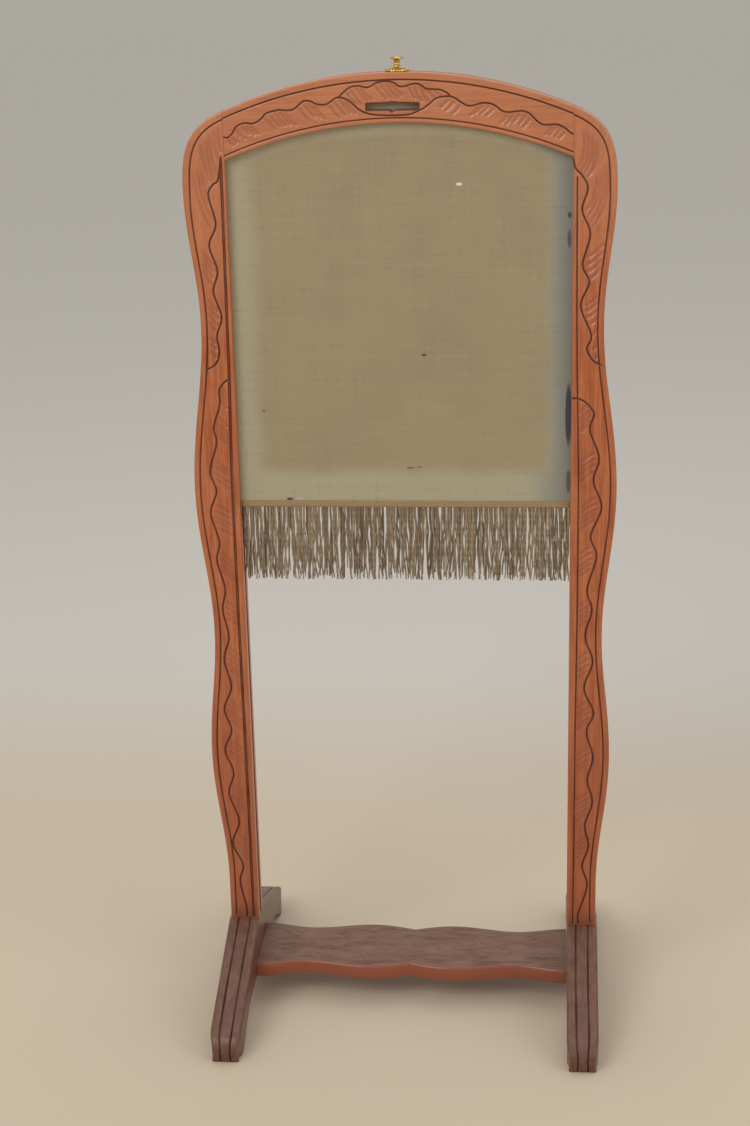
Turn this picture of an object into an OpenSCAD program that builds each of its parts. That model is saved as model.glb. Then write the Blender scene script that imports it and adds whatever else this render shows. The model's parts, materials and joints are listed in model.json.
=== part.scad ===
// Fire screen: a cloth-covered leaf that slides up out of a carved wooden stand.
// Millimetres. X runs to the right, Y to the back, Z up.
// The origin is on the floor, midway between the four toes.

/* [Stand] */
// Clear width between the two uprights
opening_w = 339; // [300:1:400]
// Height of the top rails' crown above the floor
crown_z = 994; // [900:1:1100]
// Height of the feet's flat top, where the uprights stand
foot_top_z = 84; // [76:1:96]
// Thickness of the uprights, front to back
upright_t = 27; // [25:0.5:34]
// Width of an upright where it meets its foot
upright_foot_w = 31; // [29:0.5:32.5]
// Width of an upright at its lower bulge
lower_bulge_w = 43.2; // [36:0.2:50]
// Height of the lower bulge
lower_bulge_z = 283; // [240:1:320]
// Width of an upright at its lower waist
lower_waist_w = 33.7; // [30:0.1:36]
// Height of the lower waist
lower_waist_z = 422; // [370:1:460]
// Width of an upright at its upper bulge
upper_bulge_w = 46.6; // [38:0.2:54]
// Height of the upper bulge
upper_bulge_z = 578; // [520:1:620]
// Width of an upright at its upper waist
upper_waist_w = 31.6; // [29:0.1:36]
// Height of the upper waist
upper_waist_z = 750; // [690:1:770]
// Width of an upright at its shoulder
shoulder_w = 42.8; // [38:0.2:50]
// Drop from the crown to the widest point of the shoulder
shoulder_drop = 110; // [100:1:124]

/* [Top rails] */
// Radius of the upper and lower arcs
rail_arc_r = 435; // [400:5:700]
// Height of a rail, the same all along
rail_h = 47.5; // [44:0.5:56]
// Thickness of a rail's tongue
tongue_t = 4; // [3:0.2:5]
// Length of a rail's tongue
tongue_len = 14; // [10:0.5:16]
// Width of the slot in the front rail
slot_w = 50; // [30:1:70]
// Height of the slot at its ends
slot_h = 6; // [5:0.2:8]
// Drop from the crown to the slot's upper edge
slot_drop = 29; // [26:0.5:30]
// How far the slot's lower edge dips to its middle point
slot_dip = 1.8; // [0:0.1:3]
// Distance of the slot's centre from the middle, to the right
slot_x = -4; // [-20:1:20]

/* [Feet] */
// Width of a foot
foot_w = 33; // [33:0.5:44]
// Length of a foot, toe to toe
foot_len = 348; // [320:1:400]
// Height of a foot where its toe starts to round
toe_h = 36; // [30:1:44]
// Length of the rounded toe
toe_len = 26; // [18:1:36]
// Length of the pad that rests on the floor under each toe
pad_len = 22; // [16:1:30]
// Length of the arch's curved flank
arch_flank = 76; // [50:1:90]
// Height of the arch under a foot
arch_h = 28; // [20:0.5:29]

/* [Stretcher] */
// Height of the stretcher's upper face above the floor
stretcher_top_z = 46; // [44:0.5:49]
// Thickness of the stretcher
stretcher_t = 16; // [14:0.5:18]
// Depth of the stretcher at its middle notch
stretcher_notch_d = 76; // [60:1:84]
// Depth of the stretcher at its two bulges
stretcher_bulge_d = 95; // [84:1:110]
// Distance from the middle to each bulge
stretcher_bulge_x = 45; // [35:1:60]
// Depth of the stretcher at its two waists
stretcher_waist_d = 76; // [66:1:84]
// Distance from the middle to each waist
stretcher_waist_x = 115; // [95:1:130]
// Depth of the stretcher at the feet
stretcher_end_d = 94; // [84:1:110]

/* [Leaf] */
// Thickness of the leaf's wooden frame
leaf_t = 7; // [6.4:0.1:8]
// How far the leaf's edges reach into the grooves
leaf_in_groove = 8; // [6:0.5:9]
// Height of the leaf's lower edge above the floor
leaf_bottom_z = 557; // [540:1:600]
// Width of the leaf's stiles
stile_w = 26; // [24:0.5:34]
// Height of the leaf's bottom rail
bottom_rail_h = 32; // [26:1:44]
// Height of the leaf's top rail at its crown
top_rail_h = 68; // [62:1:90]
// Thickness of the silk with its backing
cloth_t = 0.35; // [0.3:0.05:0.5]

/* [Fringe] */
// Height of the heading braid
braid_h = 7; // [5:0.5:10]
// Thickness of the heading braid
braid_t = 1.3; // [1:0.1:2]
// Length of the strands under the braid
fringe_drop = 79; // [50:1:90]
// Thickness of the row of strands
fringe_t = 3; // [2:0.2:4]

/* [Knob] */
// Radius of the round plate under the knob
plate_r = 12; // [9:0.5:13]
// Thickness of the plate
plate_t = 1.9; // [1.6:0.1:3]
// Height of the knob above its plate
knob_h = 12.1; // [10:0.1:16]
// Radius of the knob's flange
knob_flange_r = 6.7; // [5:0.1:8]
// Radius of the knob's neck
knob_neck_r = 2.6; // [2.3:0.1:3.4]
// Radius of the knob's flared base
knob_base_r = 5; // [4:0.1:7]

/* [Fittings] */
// Radius of the screws that hold the uprights to the feet
screw_r = 2.25; // [1.8:0.05:2.6]
// Radius of the wooden pegs in the stretcher's tenons
peg_r = 3; // [2:0.1:3.6]
// Radius of the wooden pegs in the leaf's corners
leaf_peg_r = 2; // [1.5:0.1:2.6]
// Radius of the knob's stud
stud_r = 1.5; // [1.2:0.1:1.8]
// Length of a friction spring
spring_len = 64; // [50:1:80]
// Thickness of a friction spring
spring_t = 0.5; // [0.4:0.05:0.7]
// Spacing of the tacks along the leaf's edges
tack_pitch = 30; // [20:1:50]

/* [Clearances] */
// Running clearance at each face of the leaf
face_gap = 0.6; // [0.4:0.05:0.8]
// Running clearance between the leaf's edges and the bottoms of the grooves
edge_gap = 1; // [0.9:0.05:1.4]
// Clearance around a tenon, a screw or a peg
fit_gap = 0.1; // [0.05:0.01:0.15]
// Clearance under the knob's plate
seat_gap = 0.3; // [0.3:0.05:0.5]

/* [Hidden] */
$fn = 48;
STEPS = 12;
EPS = 1;

half_w = opening_w / 2;
cloth_seat = 0.05;
cloth_margin = 0.2;
groove_w = leaf_t + 2 * (cloth_seat + cloth_t + face_gap);
groove_d = leaf_in_groove + edge_gap;
rail_t = (upright_t - groove_w) / 2;
slot_rise = 0.6;
shoulder_z = crown_z - shoulder_drop;

tenon_inset = 7.5;
tenon_w = 18;
tenon_t = 14;
tenon_bottom_z = stretcher_top_z + 5;
tenon_mid_x = half_w + tenon_inset + tenon_w / 2;

stretcher_tenon_len = 11;
stretcher_tenon_t = 8;
stretcher_tenon_d = 60;
stretcher_tenon_z = stretcher_top_z - stretcher_t / 2;
stretcher_peg_y = 18;
stretcher_peg_x = half_w + stretcher_tenon_len / 2;
peg_top_z = tenon_bottom_z - 1;

screw_head_r = 2 * screw_r;
screw_head_t = 2.5;
screw_recess = 1;
screw_head_z = arch_h + screw_recess;
screw_reach = 22;

leaf_half_w = half_w + leaf_in_groove;
leaf_inner_x = leaf_half_w - stile_w;
leaf_crown_drop = 0.5;
leaf_crown_z = crown_z - leaf_crown_drop;
leaf_tenon_len = 15;
leaf_tenon_t = 3;
leaf_tenon_shoulder = 6;
leaf_peg_x = leaf_inner_x + leaf_tenon_len / 2;

plate_z = crown_z + seat_gap;
knob_z = plate_z + plate_t;
stud_depth = 22;
stud_in_knob = 6;

spring_w = 5;
spring_z = leaf_bottom_z + bottom_rail_h / 2 + spring_len / 2;
spring_seat = 1.6;
spring_bow = spring_seat + edge_gap - spring_t - 0.3;
spring_margin = 3;
spring_screw_r = 1;
spring_screw_z = spring_z - spring_len / 2 + 4;

tack_head_r = 2.2;
tack_head_t = 0.5;
tack_r = 0.6;
tack_len = 7;

// Goes from 0 to 1 with a level start and a level end
function ease(t) = (1 - cos(180 * t)) / 2;

// Drop of the rails' arc below its crown, x away from the middle
function sag(x) = rail_arc_r - sqrt(rail_arc_r * rail_arc_r - x * x);

function cubic(a, b, c, d, t) =
    pow(1 - t, 3) * a + 3 * pow(1 - t, 2) * t * b + 3 * (1 - t) * t * t * c + pow(t, 3) * d;

// Smooth line through [width, height] marks, level at each mark
function serpentine(marks) = [
    for (i = [0 : len(marks) - 2], k = [0 : STEPS - 1])
        let (t = k / STEPS)
        [marks[i][0] + (marks[i + 1][0] - marks[i][0]) * ease(t),
         marks[i][1] + (marks[i + 1][1] - marks[i][1]) * t]
];

// Arc of the rails from x0 to x1, with its crown at height z
function rail_arc(x0, x1, z, n = 2 * STEPS) = [
    for (k = [0 : n]) let (x = x0 + (x1 - x0) * k / n) [x, z - sag(x)]
];

joint_top_z = crown_z - sag(half_w);
joint_low_z = joint_top_z - rail_h;

upright_marks = [
    [upright_foot_w, foot_top_z],
    [upright_foot_w, foot_top_z + 50],
    [lower_bulge_w, lower_bulge_z],
    [lower_waist_w, lower_waist_z],
    [upper_bulge_w, upper_bulge_z],
    [upper_waist_w, upper_waist_z],
    [shoulder_w, shoulder_z]
];

// The shoulder turns from upright to the slope of the rails' arc
shoulder_start = [shoulder_w, shoulder_z];
shoulder_pull = [shoulder_w, shoulder_z + 0.47 * (joint_top_z - shoulder_z)];
corner_pull = [0.9 * shoulder_w, joint_top_z - 0.9 * shoulder_w * half_w / rail_arc_r];
corner = [0, joint_top_z];

upright_outline = concat(
    [[0, foot_top_z]],
    serpentine(upright_marks),
    [for (k = [0 : STEPS]) cubic(shoulder_start, shoulder_pull, corner_pull, corner, k / STEPS)]
);

// Half of a foot's side view, from the middle of its top to the middle of its arch
foot_half = foot_len / 2;
foot_ledge = 1.5;
foot_flat = upright_t / 2 + foot_ledge;
toe_tip_z = 9;
toe_undercut = 3;
foot_outline_half = concat(
    [[foot_flat, foot_top_z]],
    [for (k = [0 : STEPS])
        cubic([foot_half - toe_len, toe_h],
              [foot_half - 0.45 * toe_len, toe_h - 0.2 * toe_len],
              [foot_half, 0.75 * toe_h],
              [foot_half, toe_tip_z], k / STEPS)],
    [[foot_half - toe_undercut, 0]],
    [for (k = [0 : STEPS])
        [foot_half - toe_undercut - pad_len - arch_flank * k / STEPS, arch_h * sin(90 * k / STEPS)]]
);

// Half of the stretcher's plan, [x, half depth] from the middle notch to the end
stretcher_half = concat(
    [for (k = [0 : STEPS - 1]) let (t = k / STEPS)
        [stretcher_bulge_x * t,
         (stretcher_notch_d + (stretcher_bulge_d - stretcher_notch_d) * sin(90 * t)) / 2]],
    [for (k = [0 : STEPS - 1]) let (t = k / STEPS)
        [stretcher_bulge_x + (stretcher_waist_x - stretcher_bulge_x) * t,
         (stretcher_bulge_d + (stretcher_waist_d - stretcher_bulge_d) * ease(t)) / 2]],
    [for (k = [0 : STEPS]) let (t = k / STEPS)
        [stretcher_waist_x + (half_w - stretcher_waist_x) * t,
         (stretcher_waist_d + (stretcher_end_d - stretcher_waist_d) * ease(t)) / 2]]
);

function flipped(points) = [for (i = [len(points) - 1 : -1 : 0]) [-points[i][0], points[i][1]]];
function mirrored_y(points) = [for (i = [len(points) - 1 : -1 : 0]) [points[i][0], -points[i][1]]];

// Board in the XZ plane, t thick, with its front face at y
module board(points, y, t) {
    translate([0, y + t, 0]) rotate([90, 0, 0]) linear_extrude(height = t) polygon(points);
}

// Block with its corners at a and b
module block(a, b) {
    translate(a) cube(b - a);
}

// Round bar along Z, from z0 to z1
module bar_z(x, y, z0, z1, r) {
    translate([x, y, z0]) cylinder(r = r, h = z1 - z0);
}

// Round bar along X, from x0 to x1
module bar_x(y, z, x0, x1, r) {
    translate([x0, y, z]) rotate([0, 90, 0]) cylinder(r = r, h = x1 - x0);
}

// Round bar through the leaf's thickness
module bar_y(x, z, t, r) {
    translate([x, t / 2, z]) rotate([90, 0, 0]) cylinder(r = r, h = t);
}

module both_sides() {
    children();
    mirror([1, 0, 0]) children();
}

// Tongue at the right end of the rail whose front face is at y, grown by gap on every side
module rail_tongue(y, gap) {
    low = joint_low_z + 8;
    high = joint_top_z - 14;
    block([half_w - EPS, y + (rail_t - tongue_t) / 2 - gap, low - gap],
          [half_w + tongue_len + gap, y + (rail_t + tongue_t) / 2 + gap, high + gap]);
}

// Tenon at the bottom of the right upright
module upright_tenon(gap) {
    block([tenon_mid_x - tenon_w / 2 - gap, -tenon_t / 2 - gap, tenon_bottom_z - gap],
          [tenon_mid_x + tenon_w / 2 + gap, tenon_t / 2 + gap, foot_top_z + EPS]);
}

// Tenon at the right end of the stretcher
module stretcher_tenon(gap) {
    block([half_w - EPS, -stretcher_tenon_d / 2 - gap, stretcher_tenon_z - stretcher_tenon_t / 2 - gap],
          [half_w + stretcher_tenon_len + gap, stretcher_tenon_d / 2 + gap,
           stretcher_tenon_z + stretcher_tenon_t / 2 + gap]);
}

// Screw that comes up through the right foot, grown by gap
module upright_screw(gap) {
    bar_z(tenon_mid_x, 0, screw_head_z - (gap > 0 ? 2 * EPS : 0), screw_head_z + screw_head_t, screw_head_r + gap);
    bar_z(tenon_mid_x, 0, screw_head_z, tenon_bottom_z + screw_reach + gap, screw_r + gap);
}

// The two pegs that pin the stretcher's right tenon, grown by gap
module stretcher_peg_pair(gap) {
    for (side = [-1, 1])
        bar_z(stretcher_peg_x, side * stretcher_peg_y, arch_h - (gap > 0 ? EPS : 0), peg_top_z + gap, peg_r + gap);
}

module upright() {
    difference() {
        union() {
            translate([half_w, 0, 0]) board(upright_outline, -upright_t / 2, upright_t);
            upright_tenon(0);
        }
        block([half_w - EPS, -groove_w / 2, foot_top_z],
              [half_w + groove_d, groove_w / 2, crown_z]);
        rail_tongue(-upright_t / 2, fit_gap);
        rail_tongue(groove_w / 2, fit_gap);
        upright_screw(fit_gap);
    }
}

module left_upright() {
    color("sienna") mirror([1, 0, 0]) upright();
}

module right_upright() {
    color("sienna") upright();
}

module top_rail(y) {
    board(concat(rail_arc(-half_w, half_w, crown_z), rail_arc(half_w, -half_w, crown_z - rail_h)), y, rail_t);
    both_sides() rail_tongue(y, 0);
}

// The slot has blunt ends, a small notch above and a point below
module slot_cutter() {
    end = slot_w / 2;
    notch = slot_w / 16;
    top = crown_z - slot_drop;
    low = top - slot_h;
    translate([slot_x, 0, 0])
        board([[-end, top - slot_rise], [-notch, top], [0, top + slot_rise], [notch, top], [end, top - slot_rise],
               [end, low], [notch, low], [0, low - slot_dip], [-notch, low], [-end, low]],
              -upright_t / 2 - EPS, rail_t + 2 * EPS);
}

module front_top_rail() {
    color("peru") difference() {
        top_rail(-upright_t / 2);
        slot_cutter();
    }
}

module rear_top_rail() {
    color("peru") top_rail(groove_w / 2);
}

module foot() {
    difference() {
        translate([half_w, 0, 0]) rotate([90, 0, 90])
            linear_extrude(height = foot_w)
                polygon(concat(foot_outline_half, flipped(foot_outline_half)));
        upright_tenon(fit_gap);
        stretcher_tenon(fit_gap);
        upright_screw(fit_gap);
        stretcher_peg_pair(fit_gap);
    }
}

module left_foot() {
    color("saddlebrown") mirror([1, 0, 0]) foot();
}

module right_foot() {
    color("saddlebrown") foot();
}

module stretcher() {
    color("saddlebrown") difference() {
        union() {
            translate([0, 0, stretcher_top_z - stretcher_t])
                linear_extrude(height = stretcher_t)
                    polygon(concat(stretcher_half, mirrored_y(stretcher_half),
                                   flipped(mirrored_y(stretcher_half)), flipped(stretcher_half)));
            both_sides() stretcher_tenon(0);
        }
        both_sides() stretcher_peg_pair(fit_gap);
    }
}

module upright_screws() {
    color("dimgray") both_sides() upright_screw(0);
}

module stretcher_pegs() {
    color("tan") both_sides() stretcher_peg_pair(0);
}

// Tenons of the leaf's rails, at the right end
module leaf_tenon(low, high, gap) {
    block([leaf_inner_x - EPS, -leaf_tenon_t / 2 - gap, low - gap],
          [leaf_inner_x + leaf_tenon_len + gap, leaf_tenon_t / 2 + gap, high + gap]);
}

top_rail_low_z = leaf_crown_z - top_rail_h;
top_tenon_low_z = top_rail_low_z + leaf_tenon_shoulder;
top_tenon_high_z = leaf_crown_z - sag(leaf_half_w) - leaf_tenon_shoulder;
bottom_tenon_low_z = leaf_bottom_z + leaf_tenon_shoulder;
bottom_tenon_high_z = leaf_bottom_z + bottom_rail_h - leaf_tenon_shoulder;

module top_tenon(gap) {
    leaf_tenon(top_tenon_low_z, top_tenon_high_z, gap);
}

module bottom_tenon(gap) {
    leaf_tenon(bottom_tenon_low_z, bottom_tenon_high_z, gap);
}

// The two pegs in the leaf's right corners
module corner_peg_pair(t, r) {
    bar_y(leaf_peg_x, (top_tenon_low_z + top_tenon_high_z) / 2, t, r);
    bar_y(leaf_peg_x, (bottom_tenon_low_z + bottom_tenon_high_z) / 2, t, r);
}

// Row of tacks down the leaf's right edge, above the spring
tack_first_z = spring_z + spring_len / 2 + 14;
tack_last_z = leaf_crown_z - sag(leaf_half_w) - 12;
module tack_row(gap) {
    for (z = [tack_first_z : tack_pitch : tack_last_z])
        bar_x(0, z, leaf_half_w - tack_len - gap, leaf_half_w + gap, tack_r + gap);
}

// Shallow recess for the friction spring, in the leaf's right edge
module spring_recess() {
    block([leaf_half_w - spring_seat, -spring_w / 2 - 0.4, spring_z - spring_len / 2 - spring_margin],
          [leaf_half_w + EPS, spring_w / 2 + 0.4, spring_z + spring_len / 2 + spring_margin]);
}

module spring_screw(gap) {
    bar_x(0, spring_screw_z, leaf_half_w - spring_seat - 8 - gap, leaf_half_w - spring_seat + 2, spring_screw_r + gap);
}

module stile() {
    difference() {
        board(concat([[leaf_half_w, leaf_bottom_z]], rail_arc(leaf_half_w, leaf_inner_x, leaf_crown_z, 4),
                     [[leaf_inner_x, leaf_bottom_z]]), -leaf_t / 2, leaf_t);
        top_tenon(fit_gap);
        bottom_tenon(fit_gap);
        corner_peg_pair(leaf_t + 2 * EPS, leaf_peg_r + fit_gap);
        tack_row(fit_gap / 2);
        spring_recess();
        spring_screw(fit_gap);
    }
}

module leaf_left_stile() {
    color("burlywood") mirror([1, 0, 0]) stile();
}

module leaf_right_stile() {
    color("burlywood") stile();
}

module leaf_top_rail() {
    color("burlywood") difference() {
        union() {
            board(concat(rail_arc(leaf_inner_x, -leaf_inner_x, leaf_crown_z),
                         [[-leaf_inner_x, top_rail_low_z], [leaf_inner_x, top_rail_low_z]]),
                  -leaf_t / 2, leaf_t);
            both_sides() top_tenon(0);
        }
        both_sides() corner_peg_pair(leaf_t, leaf_peg_r + fit_gap);
        bar_z(0, 0, leaf_crown_z - stud_depth, leaf_crown_z + EPS, stud_r + fit_gap);
    }
}

module leaf_bottom_rail() {
    color("burlywood") difference() {
        union() {
            block([-leaf_inner_x, -leaf_t / 2, leaf_bottom_z],
                  [leaf_inner_x, leaf_t / 2, leaf_bottom_z + bottom_rail_h]);
            both_sides() bottom_tenon(0);
        }
        both_sides() corner_peg_pair(leaf_t, leaf_peg_r + fit_gap);
    }
}

module leaf_corner_pegs() {
    color("tan") both_sides() corner_peg_pair(leaf_t, leaf_peg_r);
}

// Silk stretched over one face of the leaf
module cloth(y) {
    edge = leaf_half_w - cloth_margin;
    board(concat(rail_arc(edge, -edge, leaf_crown_z - cloth_margin),
                 [[-edge, leaf_bottom_z], [edge, leaf_bottom_z]]), y, cloth_t);
}

module front_cloth() {
    color("darkkhaki") cloth(-leaf_t / 2 - cloth_seat - cloth_t);
}

module rear_cloth() {
    color("darkkhaki") cloth(leaf_t / 2 + cloth_seat);
}

module cloth_tacks() {
    color("dimgray") both_sides() {
        tack_row(0);
        for (z = [tack_first_z : tack_pitch : tack_last_z])
            bar_x(0, z, leaf_half_w, leaf_half_w + tack_head_t, tack_head_r);
    }
}

// The braid and the fringe end just short of the uprights
braid_half_w = half_w - 1;
braid_y = leaf_t / 2 + 2 * cloth_seat + cloth_t;

module braid(side) {
    near = side * braid_y;
    far = side * (braid_y + braid_t);
    block([-braid_half_w, min(near, far), leaf_bottom_z],
          [braid_half_w, max(near, far), leaf_bottom_z + braid_h]);
}

module front_braid() {
    color("tan") braid(-1);
}

module rear_braid() {
    color("tan") braid(1);
}

module fringe() {
    color("tan") block([-braid_half_w, -braid_y - braid_t, leaf_bottom_z - fringe_drop],
                       [braid_half_w, -braid_y - braid_t + fringe_t, leaf_bottom_z]);
}

module knob_plate() {
    color("goldenrod") difference() {
        translate([0, 0, plate_z]) rotate_extrude()
            polygon([[0, 0], [plate_r - 0.8, 0], [plate_r, plate_t * 0.45], [plate_r - 0.8, plate_t * 0.9],
                     [plate_r - 3, plate_t], [0, plate_t]]);
        bar_z(0, 0, plate_z - EPS, knob_z + EPS, stud_r + fit_gap);
    }
}

// The knob rises from a flared base through a narrow neck to a round flange
module pull_knob() {
    neck_z = 0.45 * knob_h;
    rim_z = 0.8 * knob_h;
    color("goldenrod") difference() {
        translate([0, 0, knob_z]) rotate_extrude() polygon(concat(
            [[0, 0], [knob_base_r, 0]],
            [for (k = [0 : STEPS])
                cubic([knob_base_r, 0.08 * knob_h], [knob_neck_r, 0.12 * knob_h],
                      [knob_neck_r, 0.25 * knob_h], [knob_neck_r, neck_z], k / STEPS)],
            [for (k = [1 : STEPS])
                cubic([knob_neck_r, neck_z], [knob_neck_r, 0.66 * knob_h],
                      [0.6 * knob_flange_r, 0.74 * knob_h], [knob_flange_r, rim_z], k / STEPS)],
            [[knob_flange_r, rim_z + 0.8]],
            [for (k = [1 : STEPS - 1])
                [knob_flange_r * cos(90 * k / STEPS), rim_z + 0.8 + (knob_h - rim_z - 0.8) * sin(90 * k / STEPS)]],
            [[0, knob_h]]));
        bar_z(0, 0, knob_z - EPS, knob_z + stud_in_knob, stud_r + fit_gap);
    }
}

module knob_stud() {
    color("dimgray") bar_z(0, 0, leaf_crown_z - stud_depth + 1, knob_z + stud_in_knob - 0.5, stud_r);
}

// Thin strip bowed outwards, held at its lower end in the leaf's right edge
module friction_spring() {
    base_x = leaf_half_w - spring_seat + fit_gap;
    bow = [for (k = [0 : 2 * STEPS]) let (t = k / (2 * STEPS))
        [base_x + spring_bow * sin(180 * t), spring_z + spring_len * (t - 0.5)]];
    difference() {
        board(concat(bow, [for (i = [len(bow) - 1 : -1 : 0]) [bow[i][0] + spring_t, bow[i][1]]]),
              -spring_w / 2, spring_w);
        bar_x(0, spring_screw_z, base_x - 2, base_x + 4, spring_screw_r + fit_gap);
    }
}

module left_friction_spring() {
    color("silver") mirror([1, 0, 0]) friction_spring();
}

module right_friction_spring() {
    color("silver") friction_spring();
}

module spring_screws() {
    bowed = spring_bow * sin(180 * (spring_screw_z - spring_z + spring_len / 2) / spring_len);
    head_x = leaf_half_w - spring_seat + fit_gap + bowed + spring_t + 0.3;
    color("dimgray") both_sides() {
        bar_x(0, spring_screw_z, leaf_half_w - spring_seat - 8, head_x, spring_screw_r);
        bar_x(0, spring_screw_z, head_x, head_x + 0.5, 1.8 * spring_screw_r);
    }
}

left_upright();
right_upright();
front_top_rail();
rear_top_rail();
left_foot();
right_foot();
stretcher();
upright_screws();
stretcher_pegs();
leaf_left_stile();
leaf_right_stile();
leaf_top_rail();
leaf_bottom_rail();
leaf_corner_pegs();
front_cloth();
rear_cloth();
cloth_tacks();
front_braid();
rear_braid();
fringe();
knob_plate();
pull_knob();
knob_stud();
left_friction_spring();
right_friction_spring();
spring_screws();
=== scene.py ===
"""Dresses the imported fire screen: carved and varnished wood, silk, fringe and brass.

Sizes inside the functions are millimetres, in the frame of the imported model: X to the right, Y to the back, Z up.
Meshes are written in metres, with their objects at the origin.
"""

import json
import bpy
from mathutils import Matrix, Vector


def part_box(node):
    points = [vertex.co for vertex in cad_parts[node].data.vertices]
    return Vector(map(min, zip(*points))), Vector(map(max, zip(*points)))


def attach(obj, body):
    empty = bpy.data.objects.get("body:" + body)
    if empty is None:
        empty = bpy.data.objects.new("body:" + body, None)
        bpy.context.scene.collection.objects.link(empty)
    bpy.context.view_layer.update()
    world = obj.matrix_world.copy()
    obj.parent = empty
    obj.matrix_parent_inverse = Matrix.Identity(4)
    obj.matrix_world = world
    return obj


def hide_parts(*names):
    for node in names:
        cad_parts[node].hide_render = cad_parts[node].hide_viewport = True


bl_info = {
    "name": "Carved Fire Screen",
    "version": (1, 0, 0),
    "blender": (4, 5, 0),
    "location": "3D View > Sidebar > Fire Screen",
    "description": "Builds the carved wood, silk, fringe and brass of a fire screen around its packed model",
    "category": "Object",
}

import bpy
import numpy as np
from bpy.props import FloatProperty, FloatVectorProperty, IntProperty, PointerProperty
from bpy.types import Operator, Panel, PropertyGroup
from mathutils import Matrix, Vector

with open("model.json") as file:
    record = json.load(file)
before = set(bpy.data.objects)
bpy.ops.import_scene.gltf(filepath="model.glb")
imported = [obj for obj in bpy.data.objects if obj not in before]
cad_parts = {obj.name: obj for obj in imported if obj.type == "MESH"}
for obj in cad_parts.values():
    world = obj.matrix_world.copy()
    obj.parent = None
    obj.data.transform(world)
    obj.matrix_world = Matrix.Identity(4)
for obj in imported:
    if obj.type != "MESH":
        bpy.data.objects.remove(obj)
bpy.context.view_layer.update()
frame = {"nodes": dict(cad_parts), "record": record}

MM = 0.001


def node_box(name):
    """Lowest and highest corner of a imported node, in mm."""
    low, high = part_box(name)
    return np.array(low) / MM, np.array(high) / MM


UPRIGHT_LOW, UPRIGHT_HIGH = node_box("right_upright")
RAIL_LOW, RAIL_HIGH = node_box("front_top_rail")
REAR_RAIL_LOW, REAR_RAIL_HIGH = node_box("rear_top_rail")
FOOT_LOW, FOOT_HIGH = node_box("right_foot")
STRETCHER_LOW, STRETCHER_HIGH = node_box("stretcher")
CLOTH_LOW, CLOTH_HIGH = node_box("front_cloth")
BRAID_LOW, BRAID_HIGH = node_box("front_braid")
FRINGE_LOW, FRINGE_HIGH = node_box("fringe")
PLATE_LOW, PLATE_HIGH = node_box("knob_plate")
KNOB_LOW, KNOB_HIGH = node_box("pull_knob")

INNER = UPRIGHT_LOW[0]
HALF_T = UPRIGHT_HIGH[1]
CROWN = RAIL_HIGH[2]
FOOT_TOP = FOOT_HIGH[2]
RAIL_H = 47.5
ARC_R = 435.0
GROOVE_DEEP = 9.0

# Width of an upright and height of each place where its edge runs straight up
UPRIGHT_MARKS = [(31, 84), (31, 134), (43.2, 283), (33.7, 422), (46.6, 578), (31.6, 750), (42.8, 884)]

# Carved lines on the uprights: distance from the inner edge, height
LEFT_UPPER_WAVE = [
    (3.5, 915.5), (6, 898.5), (8.5, 891.5), (12.5, 889), (17.5, 878.5), (11.5, 850.5), (19, 829.5), (12, 804),
    (17, 783), (10, 758), (15.5, 739), (14, 724.5), (15, 716.5), (17, 711.5), (21.5, 707), (27.5, 704)]
LEFT_LOWER_WAVE = [
    (5, 694), (9, 692), (13, 688), (16, 682.5), (16.5, 666.5), (23.5, 643.5), (21.5, 627), (29.5, 597),
    (24, 576), (31, 552), (23.5, 521.5), (27, 500.5), (20, 469.5), (23.5, 446), (18.5, 416), (24.5, 390),
    (18.5, 359), (27, 333.5), (20.5, 308.5), (28.5, 285.5), (20.5, 259), (26.5, 234), (17, 202), (25, 175),
    (15, 148.5), (19, 128.5), (13.5, 97.5), (13.5, 85)]
RIGHT_UPPER_WAVE = [
    (0, 910.5), (2, 901.5), (7.5, 895.5), (11, 890.5), (14, 884), (13.5, 877.5), (9, 860.5), (17, 837.5),
    (10, 808), (16.5, 790), (8.5, 767), (19, 738), (15, 724.5), (20, 713.5), (24.5, 710), (29, 707.5)]
RIGHT_LOWER_WAVE = [
    (1, 674), (6.5, 673.5), (11.5, 671.5), (16.5, 667.5), (20.5, 662.5), (23, 656.5), (19, 640.5), (28.5, 612),
    (23, 588), (31.5, 560), (21, 529.5), (27, 507.5), (18, 471.5), (23, 449), (16.5, 420), (24.5, 392),
    (16, 362), (26, 334.5), (19, 312.5), (26, 283.5), (20.5, 257), (26, 231), (18.5, 204), (22.5, 179),
    (16, 155.5), (21.5, 131.5), (12.5, 97.5), (12.5, 85)]
LEFT_INNER_BORDER = [(3.5, 912), (4.2, 800), (5, 700), (7, 600), (7, 500), (6.7, 400), (6, 300), (5.8, 200), (5.5, 85)]
RIGHT_INNER_BORDER = [(4, 893), (4.5, 800), (5.5, 710), (7.7, 600), (8.2, 500), (7.8, 400), (7, 300), (6.9, 200),
                      (6.4, 85)]

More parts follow.
